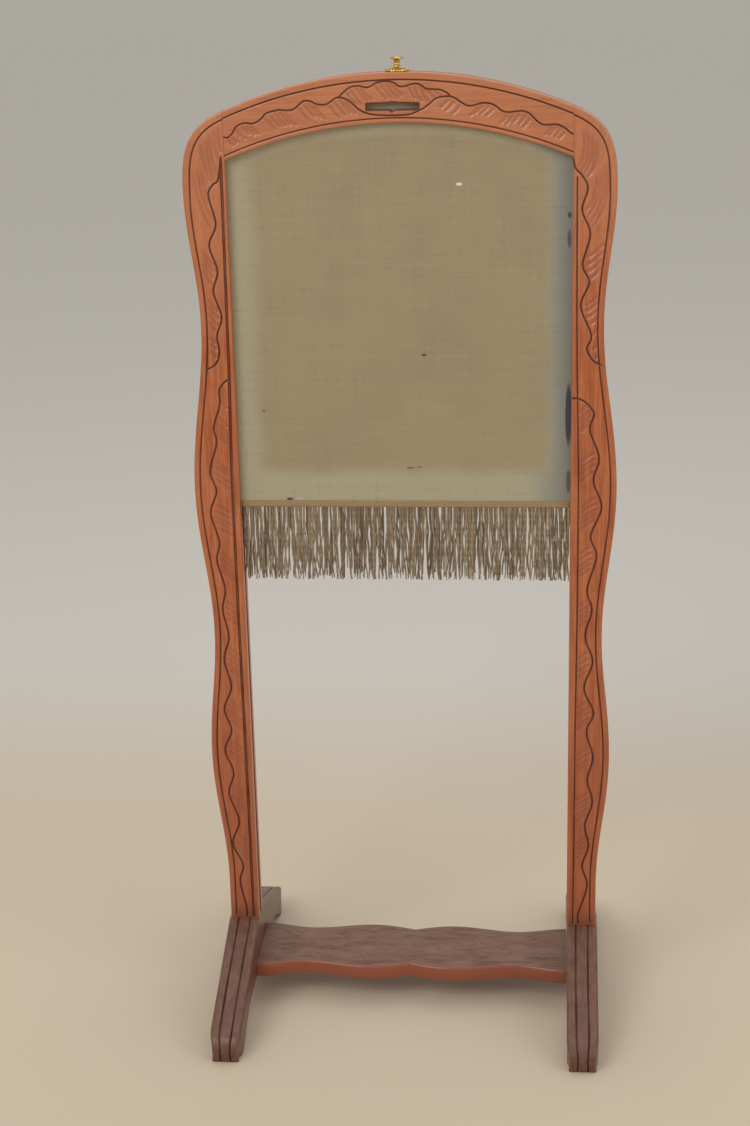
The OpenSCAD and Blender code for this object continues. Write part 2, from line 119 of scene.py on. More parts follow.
# Long gouge cuts of the shoulders and the lobes below them
LEFT_FLUTES = [
    [(5.5, 945), (5, 929), (3, 919.5)], [(9.5, 943), (8.5, 923), (5, 909.5)],
    [(13.5, 939), (13, 919.5), (9.5, 901.5), (7.5, 894.5)], [(18, 933), (16.5, 913.5), (13.5, 898.5), (9.5, 891.5)],
    [(22, 929), (21, 913.5), (18.5, 901.5), (14.5, 890.5)],
    [(31.5, 903.5), (29.5, 881.5), (24.5, 863.5), (16.5, 844.5)],
    [(27, 906.5), (25.5, 886.5), (20.5, 867.5), (13.5, 852.5)], [(23, 904.5), (21.5, 889.5), (19.5, 879.5), (18, 868)],
    [(27.5, 826), (21, 815), (13.5, 808)], [(27, 819), (20.5, 809), (13.5, 802)],
    [(26.5, 812), (21.5, 802.5), (15.5, 796)],
    [(26, 805), (22.5, 796), (18.5, 790)], [(23.5, 777), (18, 768), (11.5, 762)], [(23.5, 770), (18, 761), (11.5, 755)],
    [(23.5, 762), (18.5, 753.5), (12.5, 748)], [(23.5, 754), (20, 747), (15.5, 742)], [(23.5, 737), (16.5, 730.5)],
    [(23.5, 730.5), (16, 723.5)], [(24, 722.5), (16.5, 715.5)]]
RIGHT_FLUTES = [
    [(9, 939), (9.5, 916.5), (6.5, 904.5), (3.5, 901)], [(13.5, 937), (14, 916.5), (11.5, 904.5), (6.5, 897.5)],
    [(17.5, 933), (17.5, 916.5), (15, 903.5), (9, 893.5)], [(22, 927), (21.5, 911.5), (18.5, 899.5), (12.5, 891)],
    [(33.5, 906.5), (32.5, 881.5), (29, 861.5), (19, 842.5)], [(30, 903.5), (29.5, 881.5), (25, 862.5), (16.5, 847.5)],
    [(26, 899.5), (25.5, 881.5), (20.5, 864.5), (13.5, 852.5)], [(23, 894.5), (21.5, 879.5), (17, 866.5), (11, 858.5)],
    [(31.5, 829.5), (22.5, 820), (12.5, 814)], [(30, 822), (21.5, 812), (12, 806)],
    [(28.5, 814), (21.5, 805), (12.5, 799)],
    [(27.5, 806), (22.5, 798), (16.5, 793)], [(26.5, 779), (20, 771.5), (12.5, 767)],
    [(26, 772), (19.5, 765), (11.5, 761)],
    [(25.5, 764), (19.5, 758), (12, 755)], [(25, 757), (21.5, 751.5), (16.5, 748)], [(24.5, 743), (19, 736)],
    [(26.5, 728.5), (20.5, 722.5)], [(27.5, 717.5), (22, 713.5)]]

# Short cuts of the lower lobes: height of the first at the wave, how many, their spacing, how far each one falls
LEFT_LOBES = [
    (686.5, 4, 5, 9), (654.5, 4, 6.3, 11.5), (609, 4, 6.3, 12.5), (561, 5, 6, 10), (509.5, 4, 6.6, 12.5),
    (455.5, 4, 6.2, 9), (404, 5, 6.4, 10), (344.5, 5, 6, 12), (296.5, 4, 6, 11), (245, 5, 6, 13.5), (186, 5, 5.2, 12)]
RIGHT_LOBES = [
    (666.5, 5, 5, 9), (619, 4, 6.6, 12.5), (571, 5, 5.8, 13), (518.5, 5, 6, 9), (459.5, 5, 5.5, 7.5),
    (403, 4, 6.8, 9), (346.5, 5, 6, 9.5), (293.5, 4, 6, 10), (242, 5, 6, 10.5), (190, 4, 6, 10)]

# Carved lines on the front rail: distance from the middle, height
RAIL_WAVE = [
    (-170, 935), (-165, 934.5), (-160, 939), (-157, 944), (-152, 947), (-147, 948), (-141, 947.5), (-135.5, 949),
    (-130.5, 953), (-126.5, 957), (-119.5, 959), (-113.5, 960), (-106.5, 959.5), (-99.5, 960.5), (-94.5, 964.5),
    (-89.5, 968), (-83.5, 968), (-78.5, 965.5), (-73.5, 964.5), (-68.5, 964.5), (-63.5, 967), (-59.5, 970),
    (-55.5, 971), (-50.5, 970), (-45.5, 967.5), (-40.5, 963), (-35.5, 959), (-29.5, 956), (-19.5, 954),
    (-4, 953.5), (11, 954), (19, 956.5), (26.5, 960), (32.5, 964.5), (38.5, 969), (45, 970.5), (52, 970.5),
    (57, 968.5), (62, 965), (67.5, 962), (72.5, 961.5), (78.5, 963), (84.5, 964), (91, 963), (96, 960.5),
    (101, 956.5), (107, 955), (113.5, 955.5), (120.5, 956), (126.5, 954), (130.5, 950.5), (135, 946), (140, 943),
    (146, 942.5), (152, 943), (157.5, 941.5), (162.5, 938.5), (166.5, 935), (169.5, 933.5)]
CARTOUCHE = [
    (-55.5, 971.5), (-51.5, 975), (-47.5, 978.5), (-42.5, 981), (-35.5, 981.5), (-29.5, 980), (-24.5, 981),
    (-19.5, 984), (-13, 985.5), (-8, 985.5), (-2, 984), (2, 981), (8, 980.5), (13, 982), (19, 983), (24.5, 981),
    (28.5, 978), (34.5, 977.5), (41.5, 977), (47, 975), (51.5, 971.5)]
CARTOUCHE_FLUTES = [
    [(-48.5, 976.5), (-42.5, 967), (-36.5, 962.5)], [(-44.5, 979), (-38.5, 969), (-31.5, 962.5)],
    [(-39.5, 980.5), (-33.5, 972), (-26.5, 966.5)], [(-34.5, 980), (-29.5, 973), (-21.5, 968)],
    [(-21.5, 982.5), (-15, 974), (-8, 968)], [(-16.5, 984.5), (-10.5, 976), (-3, 968)],
    [(-12, 985), (-5, 976), (3, 968)], [(-7, 984.5), (0, 977), (7, 971.5)],
    [(12, 980.5), (14, 974), (19, 967.5)], [(17, 982), (19, 974), (25.5, 965)],
    [(22.5, 981), (25.5, 972), (31.5, 964.5)],
    [(30.5, 976.5), (33.5, 972), (36.5, 969)], [(36.5, 976.5), (39.5, 973), (44, 971.5)]]
# Where each cut below the rail's wave starts, and how far it runs sideways and down
RAIL_CUTS = [
    ((-165, -161, -157.5), 6, -7), ((-156, -151, -146.5, -142), 9, -10),
    ((-128.5, -123.5, -118.5, -113.5, -108.5), 11, -12.5), ((-95.5, -90.5, -85.5, -80.5), 13, -14.5),
    ((-65.5, -60.5, -55.5, -50), 12, -13.5), ((51, 56.5, 62), -10, -10), ((78.5, 83.5, 89, 94), -9.5, -9.5),
    ((107, 112.5, 118.5, 124.5, 129), -9, -11), ((149, 153, 157.5, 162), -8, -9)]

# Sled feet: where a toe's top curve starts behind the tip and how high, the pad, and the arch beside it
TOE_BACK, TOE_TOP, TOE_CHIN, PAD_LEN, ARCH_FLANK, ARCH_RISE = 26.0, 36.0, 3.0, 25.0, 76.0, 28.0
FOOT_EDGE = 3.0

SLOT_X, SLOT_W, SLOT_H, SLOT_DROP, SLOT_RISE, SLOT_DIP = -4.0, 50.0, 6.0, 29.0, 0.6, 1.8


# ---------------------------------------------------------------- settings

def colour(r, g, b):
    """Linear colour of sRGB numbers from 0 to 255."""
    c = np.array([r, g, b]) / 255
    return tuple(float(v) for v in np.where(c <= 0.04045, c / 12.92, ((c + 0.055) / 1.055) ** 2.4))


def colour_prop(name, description, r, g, b):
    return FloatVectorProperty(name=name, description=description, subtype="COLOR", size=3, min=0, max=1,
                               default=colour(r, g, b))


def length_prop(name, description, default, low=0.0, high=10.0):
    return FloatProperty(name=name, description=description, default=default, min=low, max=high)


class CarvedWoodSettings(PropertyGroup):
    line_width: length_prop("Line width", "Width of the incised wavy line, in mm", 2.5)
    line_depth: length_prop("Line depth", "Depth of the incised lines, in mm", 1.5)
    border_width: length_prop("Border width", "Width of the lines along the edges, in mm", 2.1)
    flute_width: length_prop("Flute width", "Width of a short gouge cut, in mm", 5.2)
    flute_depth: length_prop("Flute depth", "Depth of a gouge cut, in mm", 1.0)
    edge_radius: length_prop("Edge radius", "Rounding of the boards' edges, in mm", 1.8, 0.3, 4.0)
    pitch: length_prop("Grid", "Spacing of the points on a carved face, in mm", 0.8, 0.4, 3.0)
    light: colour_prop("Light wood", "Light streaks of the varnished wood", 205, 124, 72)
    middle: colour_prop("Wood", "Main colour of the varnished wood", 180, 92, 48)
    dark: colour_prop("Dark wood", "Dark streaks of the varnished wood", 138, 60, 32)
    # The stain also darkens the bevel round the rail's slot, where it is painted shade.
    stain: colour_prop("Stain", "Old polish in the incised lines", 66, 26, 12)


class StandWoodSettings(PropertyGroup):
    groove_width: length_prop("Groove width", "Width of the two lines along a foot, in mm", 2.6)
    groove_depth: length_prop("Groove depth", "Depth of the two lines along a foot, in mm", 1.7)
    middle: colour_prop("Foot wood", "Main colour of the feet and the stretcher", 112, 68, 50)
    dust: colour_prop("Dust", "Dust and wear on faces that look up", 146, 114, 92)
    edge: colour_prop("Stretcher's edge", "Polished edge of the stretcher", 152, 74, 46)


class ClothSettings(PropertyGroup):
    faded: colour_prop("Faded silk", "Middle of the silk, browned by light", 160, 144, 114)
    border: colour_prop("Border silk", "Edges of the silk that stayed green", 170, 163, 136)
    blue: colour_prop("Blue silk", "Right edge of the silk", 132, 136, 130)
    yarn_light: colour_prop("Light yarn", "Light strands of the fringe", 190, 168, 138)
    yarn_dark: colour_prop("Dark yarn", "Dark strands of the fringe", 84, 62, 42)
    braid: colour_prop("Braid", "Ribbed heading braid", 168, 134, 94)
    strands: IntProperty(name="Strands", description="Strands in one row of the fringe", default=112, min=20, max=200)
    strand_radius: length_prop("Strand radius", "Radius of one twisted strand, in mm", 0.85, 0.3, 2.0)
    seed: IntProperty(name="Seed", description="Chance differences of the strands", default=7)


class BrassSettings(PropertyGroup):
    brass: colour_prop("Brass", "Polished brass", 214, 180, 100)
    beads: IntProperty(name="Beads", description="Beads around the knob's plate", default=18, min=8, max=40)
    steel: colour_prop("Steel", "Screws, tacks and springs", 110, 107, 102)
    plain: colour_prop("Plain wood", "Bare wood of the leaf's frame", 176, 142, 98)


class StageSettings(PropertyGroup):
    floor: colour_prop("Floor", "Floor near the screen", 214, 198, 174)
    backdrop: colour_prop("Backdrop", "Floor far behind the screen", 220, 216, 207)
    key: FloatProperty(name="Key", description="Power of the main lamp, in W", default=34, min=0, max=500)
    fill: FloatProperty(name="Fill", description="Power of the lamp on the right, in W", default=14, min=0, max=500)
    top: FloatProperty(name="Top", description="Power of the lamp overhead, in W", default=12, min=0, max=500)
    world: FloatProperty(name="World", description="Strength of the even light", default=0.55, min=0, max=2)


# ---------------------------------------------------------------- surfaces

def eased(t):
    """Goes from 0 to 1 with a level start and end: half of one minus the cosine of a half turn."""
    return (1 - np.cos(np.pi * t)) / 2


def cubic(points, t):
    """Bezier curve of four points at the parameters t."""
    a, b, c, d = (np.asarray(p, float) for p in points)
    t = t[:, None]
    return (1 - t) ** 3 * a + 3 * (1 - t) ** 2 * t * b + 3 * (1 - t) * t ** 2 * c + t ** 3 * d


def smooth_line(points, step=1.0):
    """Catmull-Rom curve through the points: between two of them it is the cubic whose end slopes are half the
    chord between their neighbours. Sampled evenly, about step apart."""
    p = np.asarray(points, float)
    p = np.vstack([2 * p[0] - p[1], p, 2 * p[-1] - p[-2]])
    a, b, c, d = (q[:, None] for q in (p[:-3], p[1:-2], p[2:-1], p[3:]))
    t = (np.arange(12) / 12)[None, :, None]
    curve = 0.5 * (2 * b + (c - a) * t + (2 * a - 5 * b + 4 * c - d) * t ** 2 + (3 * b - a - 3 * c + d) * t ** 3)
    return evenly(np.vstack([curve.reshape(-1, 2), p[-2]]), step)


def evenly(line, step):
    """The same line with points about step apart along it."""
    far = np.concatenate([[0], np.cumsum(np.linalg.norm(np.diff(line, axis=0), axis=1))])
    at = np.linspace(0, far[-1], max(2, int(np.ceil(far[-1] / step)) + 1))
    return np.stack([np.interp(at, far, line[:, k]) for k in range(line.shape[1])], -1)


def sag(x):
    """Drop of the rails' arc below the crown, x away from the middle: the arc is a circle of radius ARC_R."""
    return ARC_R - np.sqrt(ARC_R ** 2 - np.asarray(x, float) ** 2)


def rounding(distance, radius):
    """How far a rounded edge lies under the flat face, at a distance from the edge: a quarter circle."""
    inside = np.clip(radius - distance, 0, radius)
    return radius - np.sqrt(radius ** 2 - inside ** 2)


def across(width, pitch, radius):
    """Places from 0 to 1 across a face: even in the middle, close together in the rounded edges."""
    edge = radius * (1 - np.cos(np.linspace(0, np.pi / 2, 5))) / width
    middle = np.linspace(edge[-1], 1 - edge[-1], max(2, int(round((width - 2 * radius) / pitch))) + 1)
    return np.concatenate([edge[:-1], middle, 1 - edge[-2::-1]])


def lofted(rings):
    """Faces of a closed surface through rings of points, shape (rings, points, 3): each point is joined to the
    next in its ring and to the same one in the next ring, and the first and last ring are closed with one face."""
    rows, cols = rings.shape[:2]
    index = np.arange(rows * cols).reshape(rows, cols)
    near, far = index[:-1], index[1:]
    sides = np.stack([near, np.roll(near, -1, 1), np.roll(far, -1, 1), far], -1).reshape(-1, 4)
    faces = sides.tolist() + [index[0][::-1].tolist(), index[-1].tolist()]
    a, b, c = (rings.reshape(-1, 3)[sides[:, k]] for k in (0, 1, 2))
    d = rings.reshape(-1, 3)[sides[:, 3]]
    volume = np.einsum("ij,ij->", a, np.cross(b, c)) + np.einsum("ij,ij->", a, np.cross(c, d))
    return faces if volume > 0 else [f[::-1] for f in faces]


def new_piece(name, points, faces, sharp=40.0):
    """Mesh object at the origin. points are in mm; edges sharper than the angle sharp, in degrees, stay crisp."""
    mesh = bpy.data.meshes.new(name)
    mesh.from_pydata((np.asarray(points).reshape(-1, 3) * MM).tolist(), [], faces)
    return dress_mesh(link(bpy.data.objects.new(name, mesh)), sharp)


def dress_mesh(piece, sharp):
    piece.data.polygons.foreach_set("use_smooth", np.ones(len(piece.data.polygons), bool))
    piece.data.set_sharp_from_angle(angle=np.radians(sharp))
    return piece


def link(obj):
    bpy.context.scene.collection.objects.link(obj)
    return obj


def loft_piece(name, rings, sharp=40.0):
    return new_piece(name, rings, lofted(rings), sharp)


def prism(name, outline, low, high, axis):
    """Closed prism: the outline, of points in the two other axes, carried along an axis from low to high."""
    outline = np.asarray(outline, float)
    rings = np.insert(np.stack([outline, outline]), axis, 0.0, axis=2)
    rings[0, :, axis], rings[1, :, axis] = low, high
    return loft_piece(name, rings)


def cut_away(piece, *cutters):
    """Takes the cutters' solids out of the piece, and removes the cutters."""
    for cutter in cutters:
        step = piece.modifiers.new("Cut", "BOOLEAN")
        step.object, step.operation, step.solver = cutter, "DIFFERENCE", "MANIFOLD"
    graph = bpy.context.evaluated_depsgraph_get()
    old, piece_mesh = piece.data, bpy.data.meshes.new_from_object(piece.evaluated_get(graph))
    piece.modifiers.clear()
    piece.data = piece_mesh
    bpy.data.meshes.remove(old)
    for cutter in cutters:
        bpy.data.objects.remove(cutter)
    return piece


def points_of(piece):
    """The piece's points, in mm."""
    co = np.empty(3 * len(piece.data.vertices), np.float32)
    piece.data.vertices.foreach_get("co", co)
    return co.reshape(-1, 3).astype(float) / MM


def set_points(piece, points):
    piece.data.vertices.foreach_set("co", (points * MM).astype(np.float32).ravel())
    piece.data.update()


def set_field(piece, name, values):
    """Stores one number per point, for the material to read."""
    layer = piece.data.attributes.new(name, "FLOAT", "POINT")
    layer.data.foreach_set("value", np.asarray(values, np.float32))


def finish_piece(piece, body, slot, material, *nodes):
    """Gives the piece its material, sets it on its body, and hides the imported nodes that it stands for."""
    piece.data.materials.clear()
    piece.data.materials.append(material)
    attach(piece, body)
    if nodes:
        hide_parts(*nodes)
    return piece


class Carving:
    """Tool marks on a face. Each point of the face has two coordinates in mm, the first running along the board.
    Kept for every point: depth, the wood cut away in mm; line, from 0 to 1 in the V cuts; scoop, the same in the
    hollows of the gouge."""

    STRETCH = 8

    def __init__(self, along, sideways):
        self.order = np.argsort(along)
        self.points = np.stack([along, sideways], -1)[self.order]
        self.fields = {name: np.zeros(len(along)) for name in ("depth", "line", "scoop")}

    def field(self, name):
        """One of the fields, in the order that the points came in."""
        out = np.empty(len(self.order))
        out[self.order] = self.fields[name]
        return out

    def near(self, path, reach):
        """For each short stretch of the path: the slice of points beside it, their distance from the path, and
        how far along the path, from 0 to 1, the nearest place is. The distance is to each straight segment."""
        lengths = np.linalg.norm(np.diff(path, axis=0), axis=1)
        far = np.concatenate([[0], np.cumsum(lengths)])
        for first in range(0, len(lengths), self.STRETCH):
            part = path[first:first + self.STRETCH + 1]
            low, high = part.min(0) - reach, part.max(0) + reach
            start, stop = np.searchsorted(self.points[:, 0], [low[0], high[0]])
            sideways = self.points[start:stop, 1]
            index = start + np.flatnonzero((sideways > low[1]) & (sideways < high[1]))
            if len(index) == 0:
                continue
            a, leg = part[:-1][None], np.diff(part, axis=0)[None]
            offset = self.points[index][:, None] - a
            t = np.clip((offset * leg).sum(-1) / np.maximum((leg ** 2).sum(-1), 1e-9), 0, 1)
            gap = np.linalg.norm(offset - t[..., None] * leg, axis=-1)
            best = gap.argmin(1)
            rows = np.arange(len(index))
            reached = far[first + best] + t[rows, best] * lengths[first + best]
            yield index, gap[rows, best], reached / far[-1]

    def raise_to(self, name, index, values):
        self.fields[name][index] = np.maximum(self.fields[name][index], values)

    def incise(self, path, width, depth, fade=0.0):
        """V cut: its depth falls off evenly to nothing at half its width. fade is the share of its length over
        which it runs out at each end."""
        half = width / 2
        for index, gap, reached in self.near(path, width):
            ends = np.ones_like(gap) if fade == 0 else np.clip(np.minimum(reached, 1 - reached) / fade, 0, 1)
            wall = np.clip(1 - gap / half, 0, 1) * ends
            self.raise_to("depth", index, depth * wall)
            self.raise_to("line", index, np.clip(1.25 - gap / half, 0, 1) * ends)

    def gouge(self, path, width, depth):
        """Hollow with a round bottom: one minus the square of the distance over half the width, times a rise and
        a fall along the path."""
        half = width / 2
        for index, gap, reached in self.near(path, width):
            ends = np.clip(np.minimum(reached / 0.22, (1 - reached) / 0.16), 0, 1)
            hollow = np.clip(1 - (gap / half) ** 2, 0, 1) * np.sqrt(ends)
            self.raise_to("depth", index, depth * hollow)
            self.raise_to("scoop", index, np.sqrt(hollow))


# ---------------------------------------------------------------- materials

class Value:
    """A socket of numbers in a material. Arithmetic on it adds Math nodes."""

    def __init__(self, shader, socket):
        self.shader, self.socket = shader, socket

    def _math(self, operation, a, b):
        return self.shader.node("Math", {"operation": operation}, {0: a, 1: b})

    def __add__(self, other):
        return self._math("ADD", self, other)

    def __sub__(self, other):
        return self._math("SUBTRACT", self, other)

    def __rsub__(self, other):
        return self._math("SUBTRACT", other, self)

    def __mul__(self, other):
        return self._math("MULTIPLY", self, other)

    def __truediv__(self, other):
        return self._math("DIVIDE", self, other)

    __radd__, __rmul__ = __add__, __mul__


class Shader:
    """A material in the making, with one Principled BSDF."""

    def __init__(self, name):
        self.material = bpy.data.materials.new(name)
        self.material.use_nodes = True
        self.nodes, self.links = self.material.node_tree.nodes, self.material.node_tree.links
        self.bsdf = self.nodes["Principled BSDF"]

    def node(self, kind, settings=None, inputs=None, output=0):
        """Adds a node: its settings first, then a value or a link for each input. Returns one output."""
        made = self.nodes.new("ShaderNode" + kind)
        for key, value in (settings or {}).items():
            if key == "stops":
                self.set_stops(made.color_ramp, value)
            else:
                setattr(made, key, value)
        for key, value in (inputs or {}).items():
            self.set(made.inputs[key], value)
        return Value(self, made.outputs[output])

    def set(self, socket, value):
        if isinstance(value, Value):
            self.links.new(value.socket, socket)
        elif hasattr(value, "__len__") and socket.type == "RGBA":
            socket.default_value = (*tuple(value)[:3], 1.0)
        else:
            socket.default_value = value

    @staticmethod
    def set_stops(ramp, stops):
        while len(ramp.elements) < len(stops):
            ramp.elements.new(1.0)
        for element, (place, shade) in zip(ramp.elements, stops):
            element.position, element.color = place, (*shade, 1.0)

    def surface(self, **inputs):
        """Sets the Principled BSDF's sockets; an underscore in a name stands for a space."""
        for key, value in inputs.items():
            self.set(self.bsdf.inputs[key.replace("_", " ")], value)
        return self.material

    def place(self, scale=(1, 1, 1), turn=(0, 0, 0)):
        """Object coordinates in mm, times a scale per axis."""
        at = self.node("TexCoord", output="Object")
        return self.node("Mapping", {}, {"Vector": at, "Scale": tuple(s / MM for s in scale), "Rotation": turn})

    def axes(self):
        """X, Y and Z of the surface, in mm."""
        split = self.node("SeparateXYZ", {}, {0: self.place()})
        outputs = split.socket.node.outputs
        return [Value(self, outputs[k]) for k in range(3)]

    def noise(self, vector, scale, detail=3.0, roughness=0.5, distortion=0.0):
        return self.node("TexNoise", {}, {"Vector": vector, "Scale": scale, "Detail": detail,
                                          "Roughness": roughness, "Distortion": distortion})

    def smooth(self, value, low, high):
        """0 below low, 1 above high, and an S curve between."""
        return self.node("MapRange", {"interpolation_type": "SMOOTHSTEP"},
                         {"Value": value, "From Min": low, "From Max": high})

    def mix(self, factor, a, b, blend="MIX"):
        """Colour from a to b."""
        return self.node("Mix", {"data_type": "RGBA", "blend_type": blend}, {0: factor, 6: a, 7: b}, output=2)

    def field(self, name):
        return self.node("Attribute", {"attribute_name": name}, output="Fac")

    def bump(self, height, depth, strength=1.0):
        """Normal of a height from 0 to 1, depth mm high."""
        return self.node("Bump", {}, {"Height": height, "Distance": depth * MM, "Strength": strength})


def along(axis, short, long):
    """Scale per axis for a grain: short across it and long along it."""
    return tuple(long if k == "XYZ".index(axis) else short for k in range(3))


def wood_grain(s, axis):
    """Streaks, fine fibres and pores, all drawn out along the axis. Each runs from 0 to 1."""
    streaks = s.noise(s.place(along(axis, 1, 0.05)), 0.22, 5, 0.6, 0.4)
    fibres = s.noise(s.place(along(axis, 1, 0.02)), 1.3, 3, 0.6)
    pores = s.smooth(s.noise(s.place(along(axis, 1, 0.04)), 2.4, 2, 0.5), 0.6, 0.72)
    return streaks, fibres, pores


def carved_wood(settings, name, axis):
    """Varnished wood: orange in the middle, paler and pinker near the top as a painted highlight of the lamps' glare on
    the varnish, redder and darker near the feet, with dark polish in the incised lines, painted shade round the rail's
    slot, and dull hollows."""
    s = Shader(name)
    streaks, fibres, pores = wood_grain(s, axis)
    z = s.axes()[2]
    line, scoop, worn = s.field("line"), s.field("scoop"), s.field("worn")
    blotch = s.noise(s.place(), 0.018, 3, 0.55)
    base = s.mix(s.smooth(streaks, 0.32, 0.68), settings.dark, settings.light)
    base = s.mix(0.5, base, settings.middle)
    base = s.mix(s.smooth(blotch, 0.42, 0.75) * 0.45, base, settings.light)
    # Painted highlight: the upper part is mixed towards pale pink, standing for the lamps' glare on the varnish.
    base = s.mix(s.smooth(z, 690, 960) * 0.5, base, colour(206, 138, 98))
    base = s.mix((1 - s.smooth(z, 120, 520)) * 0.45, base, colour(142, 64, 40))
    base = s.mix((1 - s.smooth(z, 84, 112)) * 0.5, base, colour(92, 58, 44))
    base = s.mix(s.smooth(fibres, 0.45, 0.75) * 0.22, base, settings.dark)
    base = s.mix(pores * 0.35, base, settings.stain)
    base = s.mix(scoop * 0.32, base, colour(138, 70, 50))
    base = s.mix(s.smooth(worn, 0.2, 1.0) * 0.3, base, colour(176, 104, 66))
    # Dark stain in the incised lines: old polish in the carved lines, and painted shade on the bevel round the rail's
    # slot.
    base = s.mix(s.smooth(line, 0.1, 0.85) * 0.88, base, settings.stain)
    height = fibres * 0.6 + streaks * 0.4 - pores * 0.5
    return s.surface(
        Base_Color=base, Roughness=line * 0.25 + s.smooth(blotch, 0.3, 0.7) * 0.12 + 0.3,
        Coat_Weight=0.45 - line * 0.4, Coat_Roughness=0.16, IOR=1.5, Normal=s.bump(height, 0.12, 0.6))


def stand_wood(settings, name, axis):
    """Dark old wood of the feet and the stretcher, with dust on the faces that look up."""
    s = Shader(name)
    streaks, fibres, pores = wood_grain(s, axis)
    line, dust, polish = s.field("line"), s.field("dust"), s.field("polish")
    blotch = s.noise(s.place(), 0.03, 4, 0.6)
    base = s.mix(s.smooth(streaks, 0.3, 0.7), colour(84, 48, 34), settings.middle)
    base = s.mix(s.smooth(blotch, 0.4, 0.7) * 0.35, base, colour(128, 78, 58))
    dusty = s.smooth(s.noise(s.place(along(axis, 1, 0.3)), 0.12, 5, 0.7), 0.25, 0.65)
    base = s.mix(dust * dusty * 0.8, base, settings.dust)
    base = s.mix(s.smooth(fibres, 0.5, 0.8) * 0.3, base, colour(70, 40, 28))
    base = s.mix(polish * 0.85, base, settings.edge)
    base = s.mix(pores * 0.4, base, colour(52, 32, 24))
    base = s.mix(s.smooth(line, 0.1, 0.9) * 0.85, base, colour(46, 32, 26))
    return s.surface(
        Base_Color=base, Roughness=dust * 0.25 + line * 0.2 + 0.38 - polish * 0.1,
        Coat_Weight=0.3 + polish * 0.3 - dust * 0.25, Coat_Roughness=0.2, IOR=1.5,
        Normal=s.bump(fibres * 0.6 + streaks * 0.4 - pores * 0.4, 0.16, 0.7))


def plain_wood(settings):
    s = Shader("plain_wood")
    streaks, fibres, pores = wood_grain(s, "Z")
    base = s.mix(s.smooth(streaks, 0.3, 0.7), tuple(0.8 * v for v in settings.plain), settings.plain)
    base = s.mix(s.smooth(fibres, 0.5, 0.8) * 0.35, base, colour(130, 98, 62))
    return s.surface(Base_Color=base, Roughness=0.62 - pores * 0.1, IOR=1.45, Normal=s.bump(fibres, 0.1, 0.6))


def silk(settings, name, front):
    """Old slub silk: a browned middle with a soft rectangle for an edge, a greener border that turns blue on the
    right, uneven threads both ways, and a few spots."""
    s = Shader(name)
    x, _, z = s.axes()
    wobble = s.noise(s.place(), 0.02, 4, 0.6) * 16 - 8
    inside = s.smooth(x + wobble, -158, -136) * s.smooth(z + wobble, 586, 606)
    inside = inside * (1 - s.smooth(x + wobble, 138, 158)) * (1 - s.smooth(z + sag_of(s, x) - wobble, 930, 944))
    weft = s.noise(s.place((0.035, 1, 1)), 0.42, 4, 0.65)
    warp = s.noise(s.place((1, 1, 0.03)), 0.42, 4, 0.65)
    fine_weft = s.noise(s.place((0.08, 1, 1)), 1.5, 2, 0.6)
    fine_warp = s.noise(s.place((1, 1, 0.08)), 1.5, 2, 0.6)
    cloud = s.noise(s.place(), 0.012, 4, 0.6)
    base = s.mix(inside, settings.border, settings.faded)
    base = s.mix((1 - inside) * s.smooth(x, 120, 162) * 0.85, base, settings.blue)
    base = s.mix(inside * s.smooth(cloud, 0.42, 0.7) * 0.4, base, colour(148, 131, 104))
    threads = weft * 0.4 + warp * 0.3 + fine_weft * 0.16 + fine_warp * 0.14
    base = s.mix(s.smooth(threads, 0.54, 0.68) * 0.4, base, colour(186, 174, 146))
    base = s.mix((1 - s.smooth(threads, 0.34, 0.48)) * 0.42, base, colour(122, 107, 84))
    if front:
        for at, size, shade, strength in SILK_SPOTS:
            base = s.mix(spot(s, x, z, at, size) * strength, base, shade)
    return s.surface(Base_Color=base, Roughness=0.72 - threads * 0.2, Sheen_Weight=0.12, Sheen_Roughness=0.4,
                     Normal=s.bump(threads, 0.25, 0.8))


# Marks on the silk: centre (x, z), half size (x, z), colour, strength
SILK_SPOTS = [
    ((58.9, 886), (3.2, 1.5), colour(232, 222, 200), 1.0), ((22.3, 716.5), (2.4, 1.2), colour(58, 46, 30), 0.95),
    ((-142, 659), (2.2, 1.6), colour(120, 98, 62), 0.7), ((7, 599), (4.2, 1.1), colour(96, 76, 48), 0.75),
    ((16, 600), (3.0, 0.9), colour(104, 84, 56), 0.6), ((-118.6, 565.5), (3.6, 1.5), colour(52, 44, 30), 0.9),
    ((-108, 566), (3.0, 1.0), colour(196, 188, 160), 0.6), ((166.5, 855), (1.8, 3.0), colour(48, 52, 56), 0.8),
    ((166.5, 832), (2.0, 9.0), colour(66, 74, 80), 0.75), ((167, 655), (3.4, 32), colour(44, 54, 72), 0.9),
    ((167.5, 585), (2.6, 12), colour(60, 70, 82), 0.7)]


def sag_of(s, x):
    """The arc's drop, near enough for colour: the square of x over twice the radius."""
    return x * x / (2 * ARC_R)


def spot(s, x, z, at, size):
    """1 inside a ragged oval and 0 outside."""
    ragged = s.noise(s.place(), 0.5, 3, 0.6) * 0.9 - 0.45
    aside, up = (x - at[0]) / size[0], (z - at[1]) / size[1]
    return 1 - s.smooth(aside * aside + up * up + ragged, 0.6, 1.3)


def yarn(name, light, dark):
    """Twisted yarn: each strand has its own shade, and darker slanted stripes along its two plies are painted shade in
    the creases of the twist.
    """
    s = Shader(name)
    shade, turn = s.field("shade"), s.field("turn")
    stripe = s.node("Math", {"operation": "SINE"}, {0: turn}) * 0.5 + 0.5
    base = s.mix(shade, dark, light)
    # Painted shade: the stripes darken the creases between the plies.
    base = s.mix((1 - stripe) * 0.45, base, tuple(0.55 * v for v in dark))
    base = s.mix(s.noise(s.place(), 1.2, 3, 0.6) * 0.25, base, colour(206, 188, 158))
    return s.surface(Base_Color=base, Roughness=0.85, Sheen_Weight=0.1, Normal=s.bump(stripe, 0.25, 0.8))


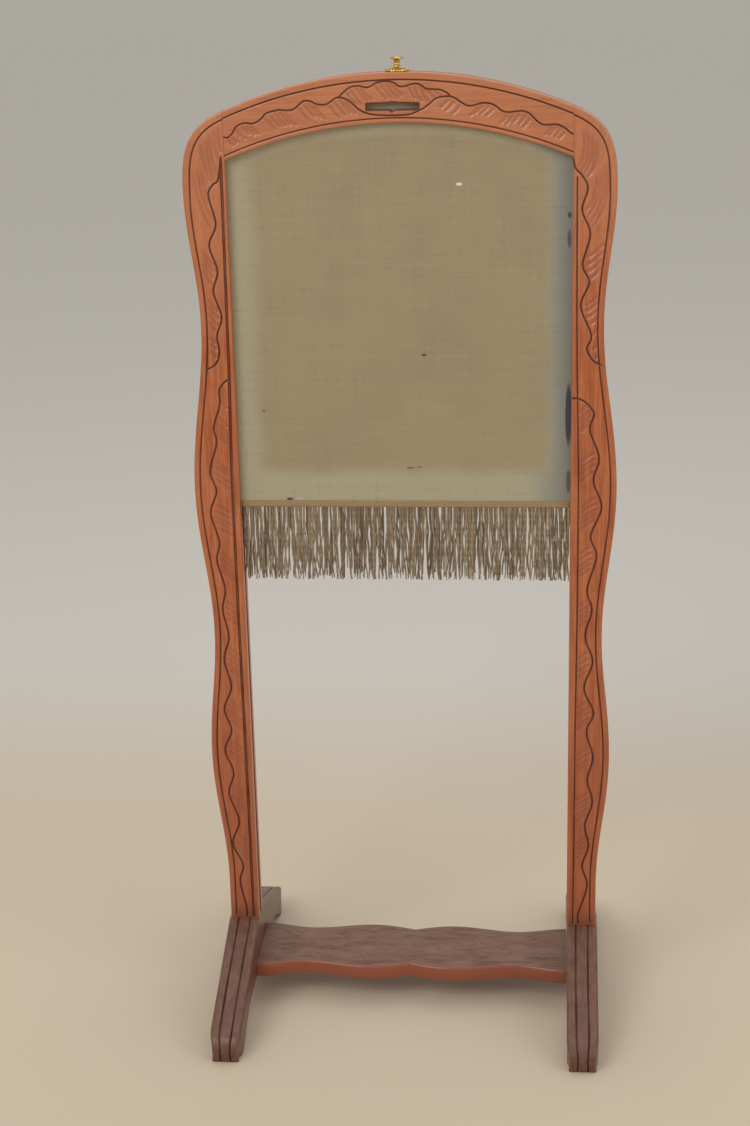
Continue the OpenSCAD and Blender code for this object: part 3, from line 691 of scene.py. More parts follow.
def metal(name, shade, roughness, mottle):
    """Metal with a cloudy shine and darker cloudy patches."""
    s = Shader(name)
    cloud = s.noise(s.place(), 0.25, 4, 0.6)
    base = s.mix(s.smooth(cloud, 0.35, 0.75) * mottle, shade, tuple(0.55 * v for v in shade))
    return s.surface(Base_Color=base, Metallic=1.0, Roughness=cloud * 0.2 + roughness,
                     Normal=s.bump(s.noise(s.place(), 1.5, 3, 0.6), 0.03, 0.5))


# ---------------------------------------------------------------- pieces

def upright_outline():
    """Outer edge of an upright, from its foot to the rail: raised cosines between the marks, then a cubic
    shoulder that leaves upwards and arrives on the slope of the rails' arc."""
    t = np.arange(24)[:, None] / 24
    spans = zip(UPRIGHT_MARKS[:-1], UPRIGHT_MARKS[1:])
    serpentine = np.vstack([np.hstack([a[0] + (b[0] - a[0]) * eased(t), a[1] + (b[1] - a[1]) * t]) for a, b in spans])
    width, height = UPRIGHT_MARKS[-1]
    joint = CROWN - sag(INNER)
    shoulder = cubic([(width, height), (width, height + 0.47 * (joint - height)),
                      (0.9 * width, joint - 0.9 * width * INNER / ARC_R), (0, joint)], np.linspace(0, 1, 60))
    return np.vstack([serpentine, shoulder])


def upright_body(name, side, settings):
    """Upright before carving: rings are level sections, and each goes along the front face from the inner edge
    outwards and back along the rear face."""
    outline = evenly(upright_outline(), settings.pitch)
    outline = outline[outline[:, 0] > 0.6]
    slope = np.gradient(outline, axis=0)
    straight = np.abs(slope[:, 1]) / np.linalg.norm(slope, axis=1)
    width, height = outline.T
    front = across(39, settings.pitch, settings.edge_radius)
    rear = np.array([1, 0.99, 0.96, 0.9, 0.5, 0.1, 0.04, 0.01, 0])

    def face(places, sign):
        """Points of the front or rear face: flat, with rounded edges, and nearly crisp beside the rail."""
        a = places[None] * width[:, None]
        outer = (width[:, None] - a) * straight[:, None]
        beside_rail = eased(np.clip((height[:, None] - 900) / 12, 0, 1))
        inner_radius = 1.3 - 0.9 * beside_rail
        drop = np.maximum(rounding(outer, settings.edge_radius), rounding(a, inner_radius))
        return np.stack([side * (INNER + a), sign * (HALF_T - drop), np.broadcast_to(height[:, None], a.shape)], -1)

    return loft_piece(name, np.concatenate([face(front, -1), face(rear, 1)], axis=1))


def groove_cutter(side):
    """Bar that leaves the leaf's groove: open at the top, where the leaf comes out."""
    half = REAR_RAIL_LOW[1]
    x = sorted((side * (INNER - 2), side * (INNER + GROOVE_DEEP)))
    return prism("groove", [(x[0], -half), (x[1], -half), (x[1], half), (x[0], half)], FOOT_TOP - 2, CROWN, 2)


def carve_front(piece, carving_of, plane, reach=2.5):
    """Presses a carving into the face at y = plane. carving_of makes it from the x and z of the face's points."""
    points = points_of(piece)
    face = np.flatnonzero(np.abs(points[:, 1] - plane) < reach)
    carving = carving_of(points[face, 0], points[face, 2])
    sink = 1 - np.clip(np.abs(points[face, 1] - plane) / reach, 0, 1)
    points[face, 1] += np.sign(-plane) * carving.field("depth") * sink
    set_points(piece, points)
    for name in ("line", "scoop"):
        values = np.zeros(len(points))
        values[face] = carving.field(name) * sink
        set_field(piece, name, values)
    return points


def upright_carving(side, settings, rng):
    """The carving of one upright, as a function of its front face's points."""
    left = side < 0
    upper, lower, border, flutes, lobes = (
        (LEFT_UPPER_WAVE, LEFT_LOWER_WAVE, LEFT_INNER_BORDER, LEFT_FLUTES, LEFT_LOBES) if left else
        (RIGHT_UPPER_WAVE, RIGHT_LOWER_WAVE, RIGHT_INNER_BORDER, RIGHT_FLUTES, RIGHT_LOBES))

    def path(points, step=1.0):
        """Line through (distance from the inner edge, height) points, as (height, x)."""
        line = smooth_line(points, step)
        return np.stack([line[:, 1], side * (INNER + line[:, 0])], -1)

    def outer_border():
        """Line inside the outer edge: the edge moved inwards along its normal."""
        edge = evenly(upright_outline(), 2.0)
        tangent = np.gradient(edge, axis=0)
        normal = np.stack([-tangent[:, 1], tangent[:, 0]], -1) / np.linalg.norm(tangent, axis=1)[:, None]
        inset = 6.3 + 0.9 * eased(np.clip((edge[:, 1] - 840) / 60, 0, 1))
        inside = edge + normal * inset[:, None]
        return inside[(inside[:, 0] > 0.4) & (inside[:, 1] > 86)]

    def make(x, z):
        carving = Carving(z, x)
        for points in (upper, lower):
            carving.incise(path(points), settings.line_width, settings.line_depth)
        edge = outer_border()
        carving.incise(np.stack([edge[:, 1], side * (INNER + edge[:, 0])], -1), settings.border_width,
                       0.8 * settings.line_depth)
        rims = [(0.0, settings.border_width)] if not left else [(-0.7, 1.5), (1.0, 1.7)]
        for shift, width in rims:
            carving.incise(path([(w + shift, h) for w, h in border], 2.0), width, 0.75 * settings.line_depth)
        for flute in flutes:
            length = abs(flute[0][1] - flute[-1][1])
            carving.gouge(path(flute), 4.4 if length > 28 else settings.flute_width, settings.flute_depth)
        wave, rim = smooth_line(lower)[::-1], smooth_line(border)[::-1]
        for top, count, spacing, fall in lobes:
            start = top - spacing * np.arange(count) + rng.uniform(-0.6, 0.6, count)
            end = start - fall + rng.uniform(-0.8, 0.8, count)
            outer = np.interp(start, wave[:, 1], wave[:, 0]) - 2.0
            inner = np.interp(end, rim[:, 1], rim[:, 0]) + (2.9 if left else 2.0)
            for a, h, b, g in zip(outer, start, inner, end):
                middle = ((a + b) / 2 + 0.4, (h + g) / 2 + 0.9)
                carving.gouge(path([(a, h), middle, (b, g)]), settings.flute_width, settings.flute_depth)
        return carving

    return make


def rail_body(name, plane, depth, settings, pitch):
    """Arched rail: rings are upright sections along X, from the lower edge up the outer face and back down. The
    ends stand against the uprights, with a hair of a joint."""
    radius = settings.edge_radius * 0.8
    reach = INNER - 0.05
    ends = np.array([0, 0.12, 0.3, 0.5])
    middle = np.linspace(-reach + 0.9, reach - 0.9, int(2 * reach / pitch))
    x = np.concatenate([-reach + ends, middle, reach - ends[::-1]])
    top = CROWN - sag(x)
    straight = np.cos(np.arcsin(np.abs(x) / ARC_R))
    outer = across(RAIL_H, pitch, radius)
    inner = np.array([1, 0.97, 0.9, 0.5, 0.1, 0.03, 0])

    def face(places, y, sign, rounded):
        rise = places[None] * RAIL_H
        edge = np.minimum(rise, RAIL_H - rise) * straight[:, None]
        drop = np.maximum(rounding(edge, rounded), rounding(reach - np.abs(x), 0.45)[:, None])
        z = top[:, None] - RAIL_H + rise
        return np.stack([np.broadcast_to(x[:, None], z.shape), y - sign * drop, z], -1)

    far = plane - np.sign(plane) * depth
    return loft_piece(name, np.concatenate([face(outer, plane, np.sign(plane), radius),
                                            face(inner, far, -np.sign(plane), 0.6)], axis=1))


def slot_outline():
    """The slot with blunt ends, a small notch above and a point below."""
    end, notch, top = SLOT_W / 2, SLOT_W / 16, CROWN - SLOT_DROP
    low = top - SLOT_H
    shape = [(-end, top - SLOT_RISE), (-notch, top), (0, top + SLOT_RISE), (notch, top), (end, top - SLOT_RISE),
             (end, low), (notch, low), (0, low - SLOT_DIP), (-notch, low), (-end, low)]
    return np.array(shape) + [SLOT_X, 0]


def rail_carving(settings, rng):
    """The carving of the front rail, as a function of its face's points."""
    def border(inset, below):
        x = np.linspace(-INNER, INNER, 170)
        z = CROWN - sag(x) - (RAIL_H - inset if below else inset)
        return np.stack([x, z], -1)

    def make(x, z):
        carving = Carving(x, z)
        carving.incise(border(7.0, False), settings.border_width * 0.95, 0.8 * settings.line_depth)
        carving.incise(border(4.6, True), settings.border_width * 0.85, 0.7 * settings.line_depth)
        wave = smooth_line(RAIL_WAVE)
        for line in (wave, smooth_line(CARTOUCHE)):
            carving.incise(line, settings.line_width * 0.85, 0.9 * settings.line_depth)
        slot = slot_outline()
        # The slot's bevel is cut as an incised line, so it takes the lines' dark stain as painted shade round the
        # slot's mouth.
        carving.incise(np.vstack([slot, slot[:1]]), 3.6, 1.1)
        for flute in CARTOUCHE_FLUTES:
            carving.gouge(smooth_line(flute), 4.2, 0.85 * settings.flute_depth)
        for starts, run, fall in RAIL_CUTS:
            for start in starts:
                begin = np.array([start, np.interp(start, wave[:, 0], wave[:, 1]) - 1.9])
                end = begin + [run + rng.uniform(-0.8, 0.8), fall + rng.uniform(-0.8, 0.8)]
                floor = CROWN - sag(end[0]) - RAIL_H + 6.6
                share = min(1.0, (begin[1] - floor) / (begin[1] - end[1]))
                end = begin + (end - begin) * share
                middle = (begin + end) / 2 - [0.3 * np.sign(run), 0.9]
                carving.gouge(smooth_line([begin, middle, end]), 4.3, 0.85 * settings.flute_depth)
        return carving

    return make


def worn_edges(points, plane, edge_distance):
    """How worn each point is: 1 on an edge of the front face, 0 from 4 mm inside."""
    return np.clip(1 - edge_distance / 4, 0, 1) * (np.abs(points[:, 1] - plane) < 4)


class FIRESCREEN_OT_uprights(Operator):
    """Build the two carved uprights"""
    bl_idname = "firescreen.uprights"
    bl_label = "Uprights"

    def execute(self, context):
        settings = context.scene.firescreen_carved
        rng = np.random.default_rng(3)
        wood = carved_wood(settings, "carved_wood_upright", "Z")
        edge = upright_outline()
        for side, name in ((-1, "left"), (1, "right")):
            piece = upright_body(f"{name}_upright_carved", side, settings)
            piece = cut_away(piece, groove_cutter(side))
            points = carve_front(piece, upright_carving(side, settings, rng), -HALF_T)
            a = np.abs(points[:, 0]) - INNER
            outer = np.interp(points[:, 2], edge[:, 1], edge[:, 0]) - a
            set_field(piece, "worn", worn_edges(points, -HALF_T, np.minimum(np.maximum(a, 0), outer)))
            dress_mesh(piece, 50)
            finish_piece(piece, "stand", "carved_wood", wood, f"{name}_upright")
        return {"FINISHED"}


class FIRESCREEN_OT_rails(Operator):
    """Build the carved front rail with its slot, and the plain rear rail"""
    bl_idname = "firescreen.rails"
    bl_label = "Top rails"

    def execute(self, context):
        settings = context.scene.firescreen_carved
        wood = carved_wood(settings, "carved_wood_rail", "X")
        front = rail_body("front_rail_carved", RAIL_LOW[1], RAIL_HIGH[1] - RAIL_LOW[1], settings, 0.62)
        cutter = prism("slot", slot_outline(), RAIL_LOW[1] - 3, RAIL_HIGH[1] + 1, 1)
        front = cut_away(front, cutter)
        points = carve_front(front, rail_carving(settings, np.random.default_rng(5)), RAIL_LOW[1])
        under = CROWN - sag(points[:, 0]) - points[:, 2]
        set_field(front, "worn", worn_edges(points, RAIL_LOW[1], np.minimum(under, RAIL_H - under)))
        dress_mesh(front, 50)
        finish_piece(front, "stand", "carved_wood", wood, "front_top_rail")
        rear = rail_body("rear_rail", REAR_RAIL_HIGH[1], REAR_RAIL_HIGH[1] - REAR_RAIL_LOW[1], settings, 3.0)
        finish_piece(rear, "stand", "carved_wood", wood, "rear_top_rail")
        return {"FINISHED"}


def foot_sections(step):
    """Matching points of a foot's upper and lower contour, from one toe to the other, as (y, z) pairs. The upper
    one climbs round the toe, up the slope and over the flat; the lower one follows the pad and the sine arch."""
    half = FOOT_HIGH[1]
    tip = cubic([(half, 9), (half, 27), (half - 11.7, 30.8), (half - TOE_BACK, TOE_TOP)], np.linspace(0, 1, 24))
    toe = np.vstack([[(half - TOE_CHIN, 0.0)], tip])
    toe = evenly(toe, step * 0.6)
    slope = evenly(np.array([(half - TOE_BACK, TOE_TOP), (HALF_T + 1.5, FOOT_TOP)]), step)[1:]
    flat = evenly(np.array([(HALF_T + 1.5, FOOT_TOP), (0, FOOT_TOP)]), step)[1:]
    upper = np.vstack([toe, slope, flat])
    pad_in, pad_tip = half - PAD_LEN, half - TOE_CHIN - 0.6
    share = np.linspace(0, 1, len(toe))
    rest = np.interp(upper[len(toe):, 0], [0, half - TOE_BACK], [0, pad_in])
    low_y = np.concatenate([pad_tip - (pad_tip - pad_in) * share, rest])
    low_z = ARCH_RISE * np.sin(np.pi / 2 * np.clip((pad_in - low_y) / ARCH_FLANK, 0, 1))
    lower = np.stack([low_y, low_z], -1)
    mirror = np.array([-1, 1])
    return np.vstack([upper, upper[-2::-1] * mirror]), np.vstack([lower, lower[-2::-1] * mirror])


def foot_piece(side, name, settings):
    """Sled foot: each ring goes across the upper contour, with two V grooves, and back along the lower one. The
    toes are narrower at their tips, by a cosine of the distance past the slope."""
    upper, lower = foot_sections(1.5)
    half_w = (FOOT_HIGH[0] - FOOT_LOW[0]) / 2
    places = across(2 * half_w, 0.7, FOOT_EDGE)
    past = np.clip((np.abs(upper[:, 0]) - (FOOT_HIGH[1] - 24)) / 24, 0, 1) * np.clip((44 - upper[:, 1]) / 12, 0, 1)
    width = half_w * (1 - 0.2 * past ** 3)
    tangent = np.gradient(upper, axis=0)
    inward = np.stack([-tangent[:, 1], tangent[:, 0]], -1) / np.linalg.norm(tangent, axis=1)[:, None]
    offset = (2 * places - 1)[None] * width[:, None]
    edge = width[:, None] - np.abs(offset)
    sink = rounding(edge, FOOT_EDGE)
    wander = 0.35 * np.sin(upper[:, 0] / 31 + side)
    line = np.zeros_like(offset)
    for share in (-0.4, 0.38):
        gap = np.abs(offset - share * width[:, None] - wander[:, None])
        line = np.maximum(line, np.clip(1 - 2 * gap / settings.groove_width, 0, 1))
    sink = sink + settings.groove_depth * line
    centre = (FOOT_LOW[0] + FOOT_HIGH[0]) / 2
    top = np.stack([centre + offset, upper[:, None, 0] + inward[:, None, 0] * sink,
                    upper[:, None, 1] + inward[:, None, 1] * sink], -1)
    low_places = np.array([1, 0.94, 0.5, 0.06, 0])
    low_offset = (2 * low_places - 1)[None] * (width[:, None] - 0.4)
    bottom = np.stack([centre + low_offset, np.broadcast_to(lower[:, None, 0], low_offset.shape),
                       np.broadcast_to(lower[:, None, 1], low_offset.shape)], -1)
    rings = np.concatenate([top, bottom], axis=1)
    rings[..., 0] *= side
    piece = loft_piece(f"{name}_foot_worn", rings, 45)
    lines = np.concatenate([line, np.zeros(low_offset.shape)], axis=1).ravel()
    up = np.clip(-inward[:, 1], 0, 1)[:, None] * np.ones(offset.shape)
    dust = np.concatenate([up * np.clip(edge / 3, 0.3, 1), np.zeros(low_offset.shape)], axis=1).ravel()
    set_field(piece, "line", lines)
    set_field(piece, "dust", dust * (0.35 + 0.4 * (rings[..., 1].ravel() > HALF_T)))
    set_field(piece, "polish", np.zeros(len(lines)))
    return piece


class FIRESCREEN_OT_feet(Operator):
    """Build the two sled feet"""
    bl_idname = "firescreen.feet"
    bl_label = "Feet"

    def execute(self, context):
        settings = context.scene.firescreen_stand
        wood = stand_wood(settings, "dark_wood_foot", "Y")
        for side, name in ((-1, "left"), (1, "right")):
            piece = foot_piece(side, name, settings)
            finish_piece(piece, "stand", "dark_wood", wood, f"{name}_foot")
        return {"FINISHED"}


def stretcher_half_depth(x):
    """Half the stretcher's depth: a sine from the middle notch to the bulge, then raised cosines to the waist
    and to the foot."""
    x = np.abs(x)
    notch, bulge, waist, end = 38.0, 47.5, 38.0, 47.0
    bulge_x, waist_x = 45.0, 115.0
    first = notch + (bulge - notch) * np.sin(np.pi / 2 * np.clip(x / bulge_x, 0, 1))
    second = bulge + (waist - bulge) * eased(np.clip((x - bulge_x) / (waist_x - bulge_x), 0, 1))
    third = waist + (end - waist) * eased(np.clip((x - waist_x) / (INNER - waist_x), 0, 1))
    return np.where(x < bulge_x, first, np.where(x < waist_x, second, third))


STRETCHER_STROKES = [
    [(-150, 28), (-138, 20), (-126, 12)], [(-142, 31), (-131, 25), (-120, 20)], [(-62, -16), (-55, -24), (-49, -33)],
    [(-112, -14), (-104, -20), (-99, -27)], [(-52, 22), (-44, 30), (-34, 33)], [(-28, 18), (-23, 28), (-12, 31)],
    [(22, 2), (28, -5), (33, -13)], [(20, -18), (32, -20), (44, -17)], [(126, 16), (137, 22), (148, 29)],
    [(120, 24), (131, 28), (141, 33)], [(98, -20), (106, -15), (112, -6)], [(54, 30), (66, 26), (75, 18)],
    [(-86, 26), (-78, 18), (-72, 8)], [(70, -28), (80, -24), (88, -16)]]


class FIRESCREEN_OT_stretcher(Operator):
    """Build the stretcher between the feet"""
    bl_idname = "firescreen.stretcher"
    bl_label = "Stretcher"

    def execute(self, context):
        settings = context.scene.firescreen_stand
        low, high = STRETCHER_LOW[2], STRETCHER_HIGH[2]
        x = np.linspace(-INNER + 0.05, INNER - 0.05, 340)
        half = stretcher_half_depth(x)
        places = across(86, 1.0, 2.2)
        y = (2 * places - 1)[None] * half[:, None]
        edge = half[:, None] - np.abs(y)
        carving = Carving(np.repeat(x, len(places)), y.ravel())
        for sign in (-1, 1):
            carving.incise(np.stack([x, sign * (half - 8.5)], -1)[::2], 1.8, 0.45)
        for stroke in STRETCHER_STROKES:
            carving.incise(smooth_line(stroke), 2.2, 0.7, fade=0.3)
        line = carving.field("line").reshape(y.shape) * 0.5
        sink = rounding(edge, 2.2) + carving.field("depth").reshape(y.shape)
        top = np.stack([np.broadcast_to(x[:, None], y.shape), y, high - sink], -1)
        low_y = np.array([1, 0.98, 0.5, -0.5, -0.98, -1])[None] * half[:, None]
        drop = rounding(half[:, None] - np.abs(low_y), 1.5)
        bottom = np.stack([np.broadcast_to(x[:, None], low_y.shape), low_y, low + drop], -1)
        piece = loft_piece("stretcher_worn", np.concatenate([top, bottom], axis=1), 45)
        flat = np.clip(edge / 4, 0, 1)
        none = np.zeros(low_y.shape)
        set_field(piece, "line", np.concatenate([line, none], axis=1).ravel())
        set_field(piece, "dust", np.concatenate([flat * 0.85, none], axis=1).ravel())
        set_field(piece, "polish", np.concatenate([(1 - flat) * (y < 0), (low_y < 0) * 0.9], axis=1).ravel())
        finish_piece(piece, "stand", "dark_wood", stand_wood(settings, "dark_wood_stretcher", "X"), "stretcher")
        return {"FINISHED"}


def cloth_piece(name, node, sign):
    """Silk stretched on the leaf: a thin closed sheet under the arc, whose outer face waves by a tenth of a
    millimetre where it is free."""
    low, high = node_box(node)
    x = np.linspace(low[0], high[0], 178)
    crown = high[2] + sag(0)
    arc = crown - sag(x)
    places = np.linspace(0, 1, 150)
    z = low[2] + places[None] * (arc[:, None] - low[2])
    free = np.clip(1 - np.abs(x) / 168, 0, 1)[:, None] * np.sin(np.pi * places)[None]
    wave = 0.12 * free * (np.sin(x / 23)[:, None] * np.sin(z / 31) + np.sin((x[:, None] + z) / 17) * 0.5)
    outer_y, inner_y = (low[1], high[1]) if sign < 0 else (high[1], low[1])
    outer = np.stack([np.broadcast_to(x[:, None], z.shape), outer_y + sign * wave, z], -1)
    back_z = np.stack([arc, (arc + low[2]) / 2, np.full_like(arc, low[2])], -1)
    inner = np.stack([np.broadcast_to(x[:, None], back_z.shape), np.full_like(back_z, inner_y), back_z], -1)
    flat_area = (arc - low[2]).mean() * (high[0] - low[0]) * MM * MM
    return loft_piece(name, np.concatenate([outer, inner], axis=1), 60), (high - low), flat_area


class FIRESCREEN_OT_silk(Operator):
    """Stretch the silk over both faces of the leaf"""
    bl_idname = "firescreen.silk"
    bl_label = "Silk"

    def execute(self, context):
        settings = context.scene.firescreen_cloth
        for name, node, sign in (("front_silk", "front_cloth", -1), ("rear_silk", "rear_cloth", 1)):
            piece, size, area = cloth_piece(name, node, sign)
            finish_piece(piece, "leaf", "silk", silk(settings, f"silk_{name[:-5]}", sign < 0), node)
            size[0] * MM
            size[2] * MM
        return {"FINISHED"}


def tubes(paths, radii, sides):
    """Closed tubes along many paths of the same length, shape (tubes, rings, 3): a ring of points around each
    path point, in the level plane, and a face on each end."""
    turn = 2 * np.pi * np.arange(sides) / sides
    around = np.stack([np.cos(turn), np.sin(turn), np.zeros(sides)], -1)
    rings = paths[:, :, None] + radii[:, :, None, None] * around[None, None]
    count, rows = paths.shape[:2]
    index = np.arange(count * rows * sides).reshape(count, rows, sides)
    near, far = index[:, :-1], index[:, 1:]
    faces = np.stack([near, np.roll(near, -1, 2), np.roll(far, -1, 2), far], -1).reshape(-1, 4)[:, ::-1]
    ends = np.concatenate([index[:, 0], index[:, -1][:, ::-1]])
    return rings, faces.tolist() + ends.tolist(), turn


class FIRESCREEN_OT_fringe(Operator):
    """Hang the fringe and sew its heading braid on both faces"""
    bl_idname = "firescreen.fringe"
    bl_label = "Fringe"

    def execute(self, context):
        settings = context.scene.firescreen_cloth
        self.strands(settings)
        for name, node, sign in (("front_heading", "front_braid", -1), ("rear_heading", "rear_braid", 1)):
            self.heading(settings, name, node, sign)
        return {"FINISHED"}

    @staticmethod
    def chance(rng, span, count):
        """A random number within the span for each strand, as a column."""
        return rng.uniform(*span, count)[:, None]

    def strands(self, settings):
        """Three rows of strands. Each falls almost straight, drifts sideways a little more the lower it gets, and
        swings in two slow sine waves; its end is thinner."""
        rng = np.random.default_rng(settings.seed)
        rows, rings, sides = 3, 13, 4
        count = settings.strands * rows
        half = FRINGE_HIGH[0] - 1.2
        start = np.linspace(-half, half, settings.strands)[None] + rng.uniform(-1.3, 1.3, (rows, settings.strands))
        start = start.ravel()
        layer = np.repeat(np.arange(rows), settings.strands)
        deep = FRINGE_LOW[1] + 0.9 + layer * (FRINGE_HIGH[1] - FRINGE_LOW[1] - 1.8) / (rows - 1)
        length = (FRINGE_HIGH[2] - FRINGE_LOW[2]) * (1 - rng.uniform(0, 1, count) ** 2.2 * 0.16)
        t = np.linspace(0, 1, rings)[None]
        drift = rng.normal(0, 2.6, count)[:, None] * t ** 1.3
        swing, curl = (
            self.chance(rng, size, count)
            * np.sin(self.chance(rng, turns, count) * t + self.chance(rng, (0, 6.3), count))
            for size, turns in (((0.3, 1.5), (4, 9)), ((0.1, 0.7), (12, 20))))
        x = np.clip(start[:, None] + drift + (swing + curl) * np.minimum(1, 3 * t), FRINGE_LOW[0], FRINGE_HIGH[0])
        y = deep[:, None] + rng.uniform(-0.5, 0.5, count)[:, None] * t + 0.25 * np.sin(7 * t + start[:, None])
        z = FRINGE_HIGH[2] - t * length[:, None]
        radii = settings.strand_radius * rng.uniform(0.8, 1.15, count)[:, None] * (1 - 0.35 * t ** 6)
        points, faces, turn = tubes(np.stack([x, y, z], -1), radii, sides)
        piece = new_piece("fringe_strands", points, faces, 70)
        shade = np.clip(rng.beta(1.6, 1.8, count), 0, 1)[:, None] * np.ones((1, rings * sides))
        winding = turn[None, None] + (z[:, :, None] / 1.1)
        set_field(piece, "shade", shade.ravel())
        set_field(piece, "turn", np.broadcast_to(winding, (count, rings, sides)).ravel())
        look = yarn("yarn_strand", settings.yarn_light, settings.yarn_dark)
        finish_piece(piece, "leaf", "fringe_yarn", look, "fringe")

    def heading(self, settings, name, node, sign):
        """Ribbed braid: slanted ribs, each the size of a rounded cosine, between two fine cords along its edges."""
        low, high = node_box(node)
        x = np.arange(low[0], high[0], 0.45)
        places = np.linspace(0, 1, 15)
        z = low[2] + places * (high[2] - low[2])
        rib = np.abs(np.cos(np.pi * (x[:, None] / 2.5 + 0.9 * places[None])))
        cord = np.abs(np.cos(np.pi * x[:, None] / 1.5)) * ((places < 0.16) | (places > 0.84))[None]
        rim = np.minimum(1, 6 * np.minimum(places, 1 - places) + 0.35)[None]
        height = np.where(cord > 0, 0.55 + 0.35 * cord, 0.3 + 0.7 * np.sqrt(rib)) * rim
        outer_y = (low[1] if sign < 0 else high[1]) - sign * (high[1] - low[1]) * (1 - height)
        inner_y = high[1] if sign < 0 else low[1]
        outer = np.stack(np.broadcast_arrays(x[:, None], outer_y, z[None]), -1)
        back = np.array([high[2], low[2]])
        inner = np.stack([np.broadcast_to(x[:, None], (len(x), 2)), np.full((len(x), 2), inner_y),
                          np.broadcast_to(back[None], (len(x), 2))], -1)
        piece = loft_piece(name, np.concatenate([outer, inner], axis=1), 70)
        fill = np.zeros((len(x), 2))
        # Painted shade: the braid's tone and stripes follow the height of its surface, darker in the hollows between
        # ribs and cords.
        set_field(piece, "shade", np.concatenate([0.25 + 0.75 * height, fill], axis=1).ravel())
        set_field(piece, "turn", np.concatenate([np.pi * height, fill], axis=1).ravel())
        look = yarn(f"yarn_{name}", settings.braid, settings.yarn_dark)
        finish_piece(piece, "leaf", "fringe_yarn", look, node)


def turned(name, profile, count, swell=None):
    """Surface of revolution about the Z axis: each (radius, height) of the profile goes round in count steps.
    swell gives the change in radius and height at each step and profile point. Both ends close in a pole face."""
    profile = np.asarray(profile, float)
    angle = 2 * np.pi * np.arange(count) / count
    radius, height = (np.broadcast_to(profile[:, None, k], (len(profile), count)) for k in (0, 1))
    if swell is not None:
        extra = swell(radius, height, angle[None])
        radius, height = radius + extra[0], height + extra[1]
    return loft_piece(name, np.stack([radius * np.cos(angle), radius * np.sin(angle), height], -1), 40)


class FIRESCREEN_OT_knob(Operator):
    """Turn the brass knob and its beaded plate"""
    bl_idname = "firescreen.knob"
    bl_label = "Knob"

    def execute(self, context):
        settings = context.scene.firescreen_brass
        brass = metal("brass_polished", settings.brass, 0.16, 0.3)
        self.plate(settings, brass)
        foot, height = KNOB_LOW[2], KNOB_HIGH[2] - KNOB_LOW[2]
        flange = KNOB_HIGH[0]
        shape = [(0.05, 0), (4.9, 0), (5, 0.5), (4.7, 1.0), (3.7, 1.5), (3.0, 2.3), (2.75, 3.1), (3.25, 3.5),
                 (3.3, 3.9),
                 (2.75, 4.3), (2.55, 5.2), (2.6, 6.3), (2.85, 7.2), (3.5, 8.1), (4.7, 8.9), (6.0, 9.4), (flange, 9.8),
                 (flange, 10.4), (flange - 0.5, 10.8), (5.6, 10.9), (5.3, 10.7), (4.6, 11.2), (3.2, 11.7), (1.6, 12.0),
                 (0.05, 12.1)]
        profile = evenly(np.array(shape) * [1, height / 12.1] + [0, foot], 0.3)
        finish_piece(turned("knob_turned", profile, 48), "leaf", "brass", brass, "pull_knob")
        return {"FINISHED"}

    def plate(self, settings, brass):
        """Thin round plate with a ring of beads: a bead is a half sphere that stands up around its centre."""
        low, high = PLATE_LOW[2], PLATE_HIGH[2]
        rim = PLATE_HIGH[0]
        ring, size = rim - 1.75, 1.75
        profile = [(0.05, low), (rim - 1.2, low), (rim - 0.4, low + 0.25), (rim - 0.5, low + 0.7)]
        profile += [(r, low + 0.85) for r in np.linspace(rim - 0.7, 6.0, 16)] + [(5.4, low + 1.4), (0.05, high)]

        def beads(radius, height, angle):
            step = 2 * np.pi / settings.beads
            aside = (np.mod(angle + step / 2, step) - step / 2) * ring
            gap = np.hypot(aside, radius - ring)
            bump = np.sqrt(np.clip(size ** 2 - gap ** 2, 0, None)) * (height > low + 0.5) * (radius > 6)
            return np.zeros_like(bump), np.minimum(bump, high - low - 0.85)

        piece = turned("plate_beaded", profile, settings.beads * 12, beads)
        finish_piece(piece, "leaf", "brass", brass, "knob_plate")


class FIRESCREEN_OT_fittings(Operator):
    """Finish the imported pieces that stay: the leaf's frame, pegs, screws, tacks and springs"""
    bl_idname = "firescreen.fittings"
    bl_label = "Fittings"

    def execute(self, context):
        settings = context.scene.firescreen_brass
        finishes = {"plain_wood": plain_wood(settings), "steel": metal("steel_dull", settings.steel, 0.38, 0.5)}
        for part in frame["record"]["subparts"]:
            node = frame["nodes"][part["node"]]
            if part["material_slot"] in finishes:
                node.data.materials.clear()
                node.data.materials.append(finishes[part["material_slot"]])
        return {"FINISHED"}


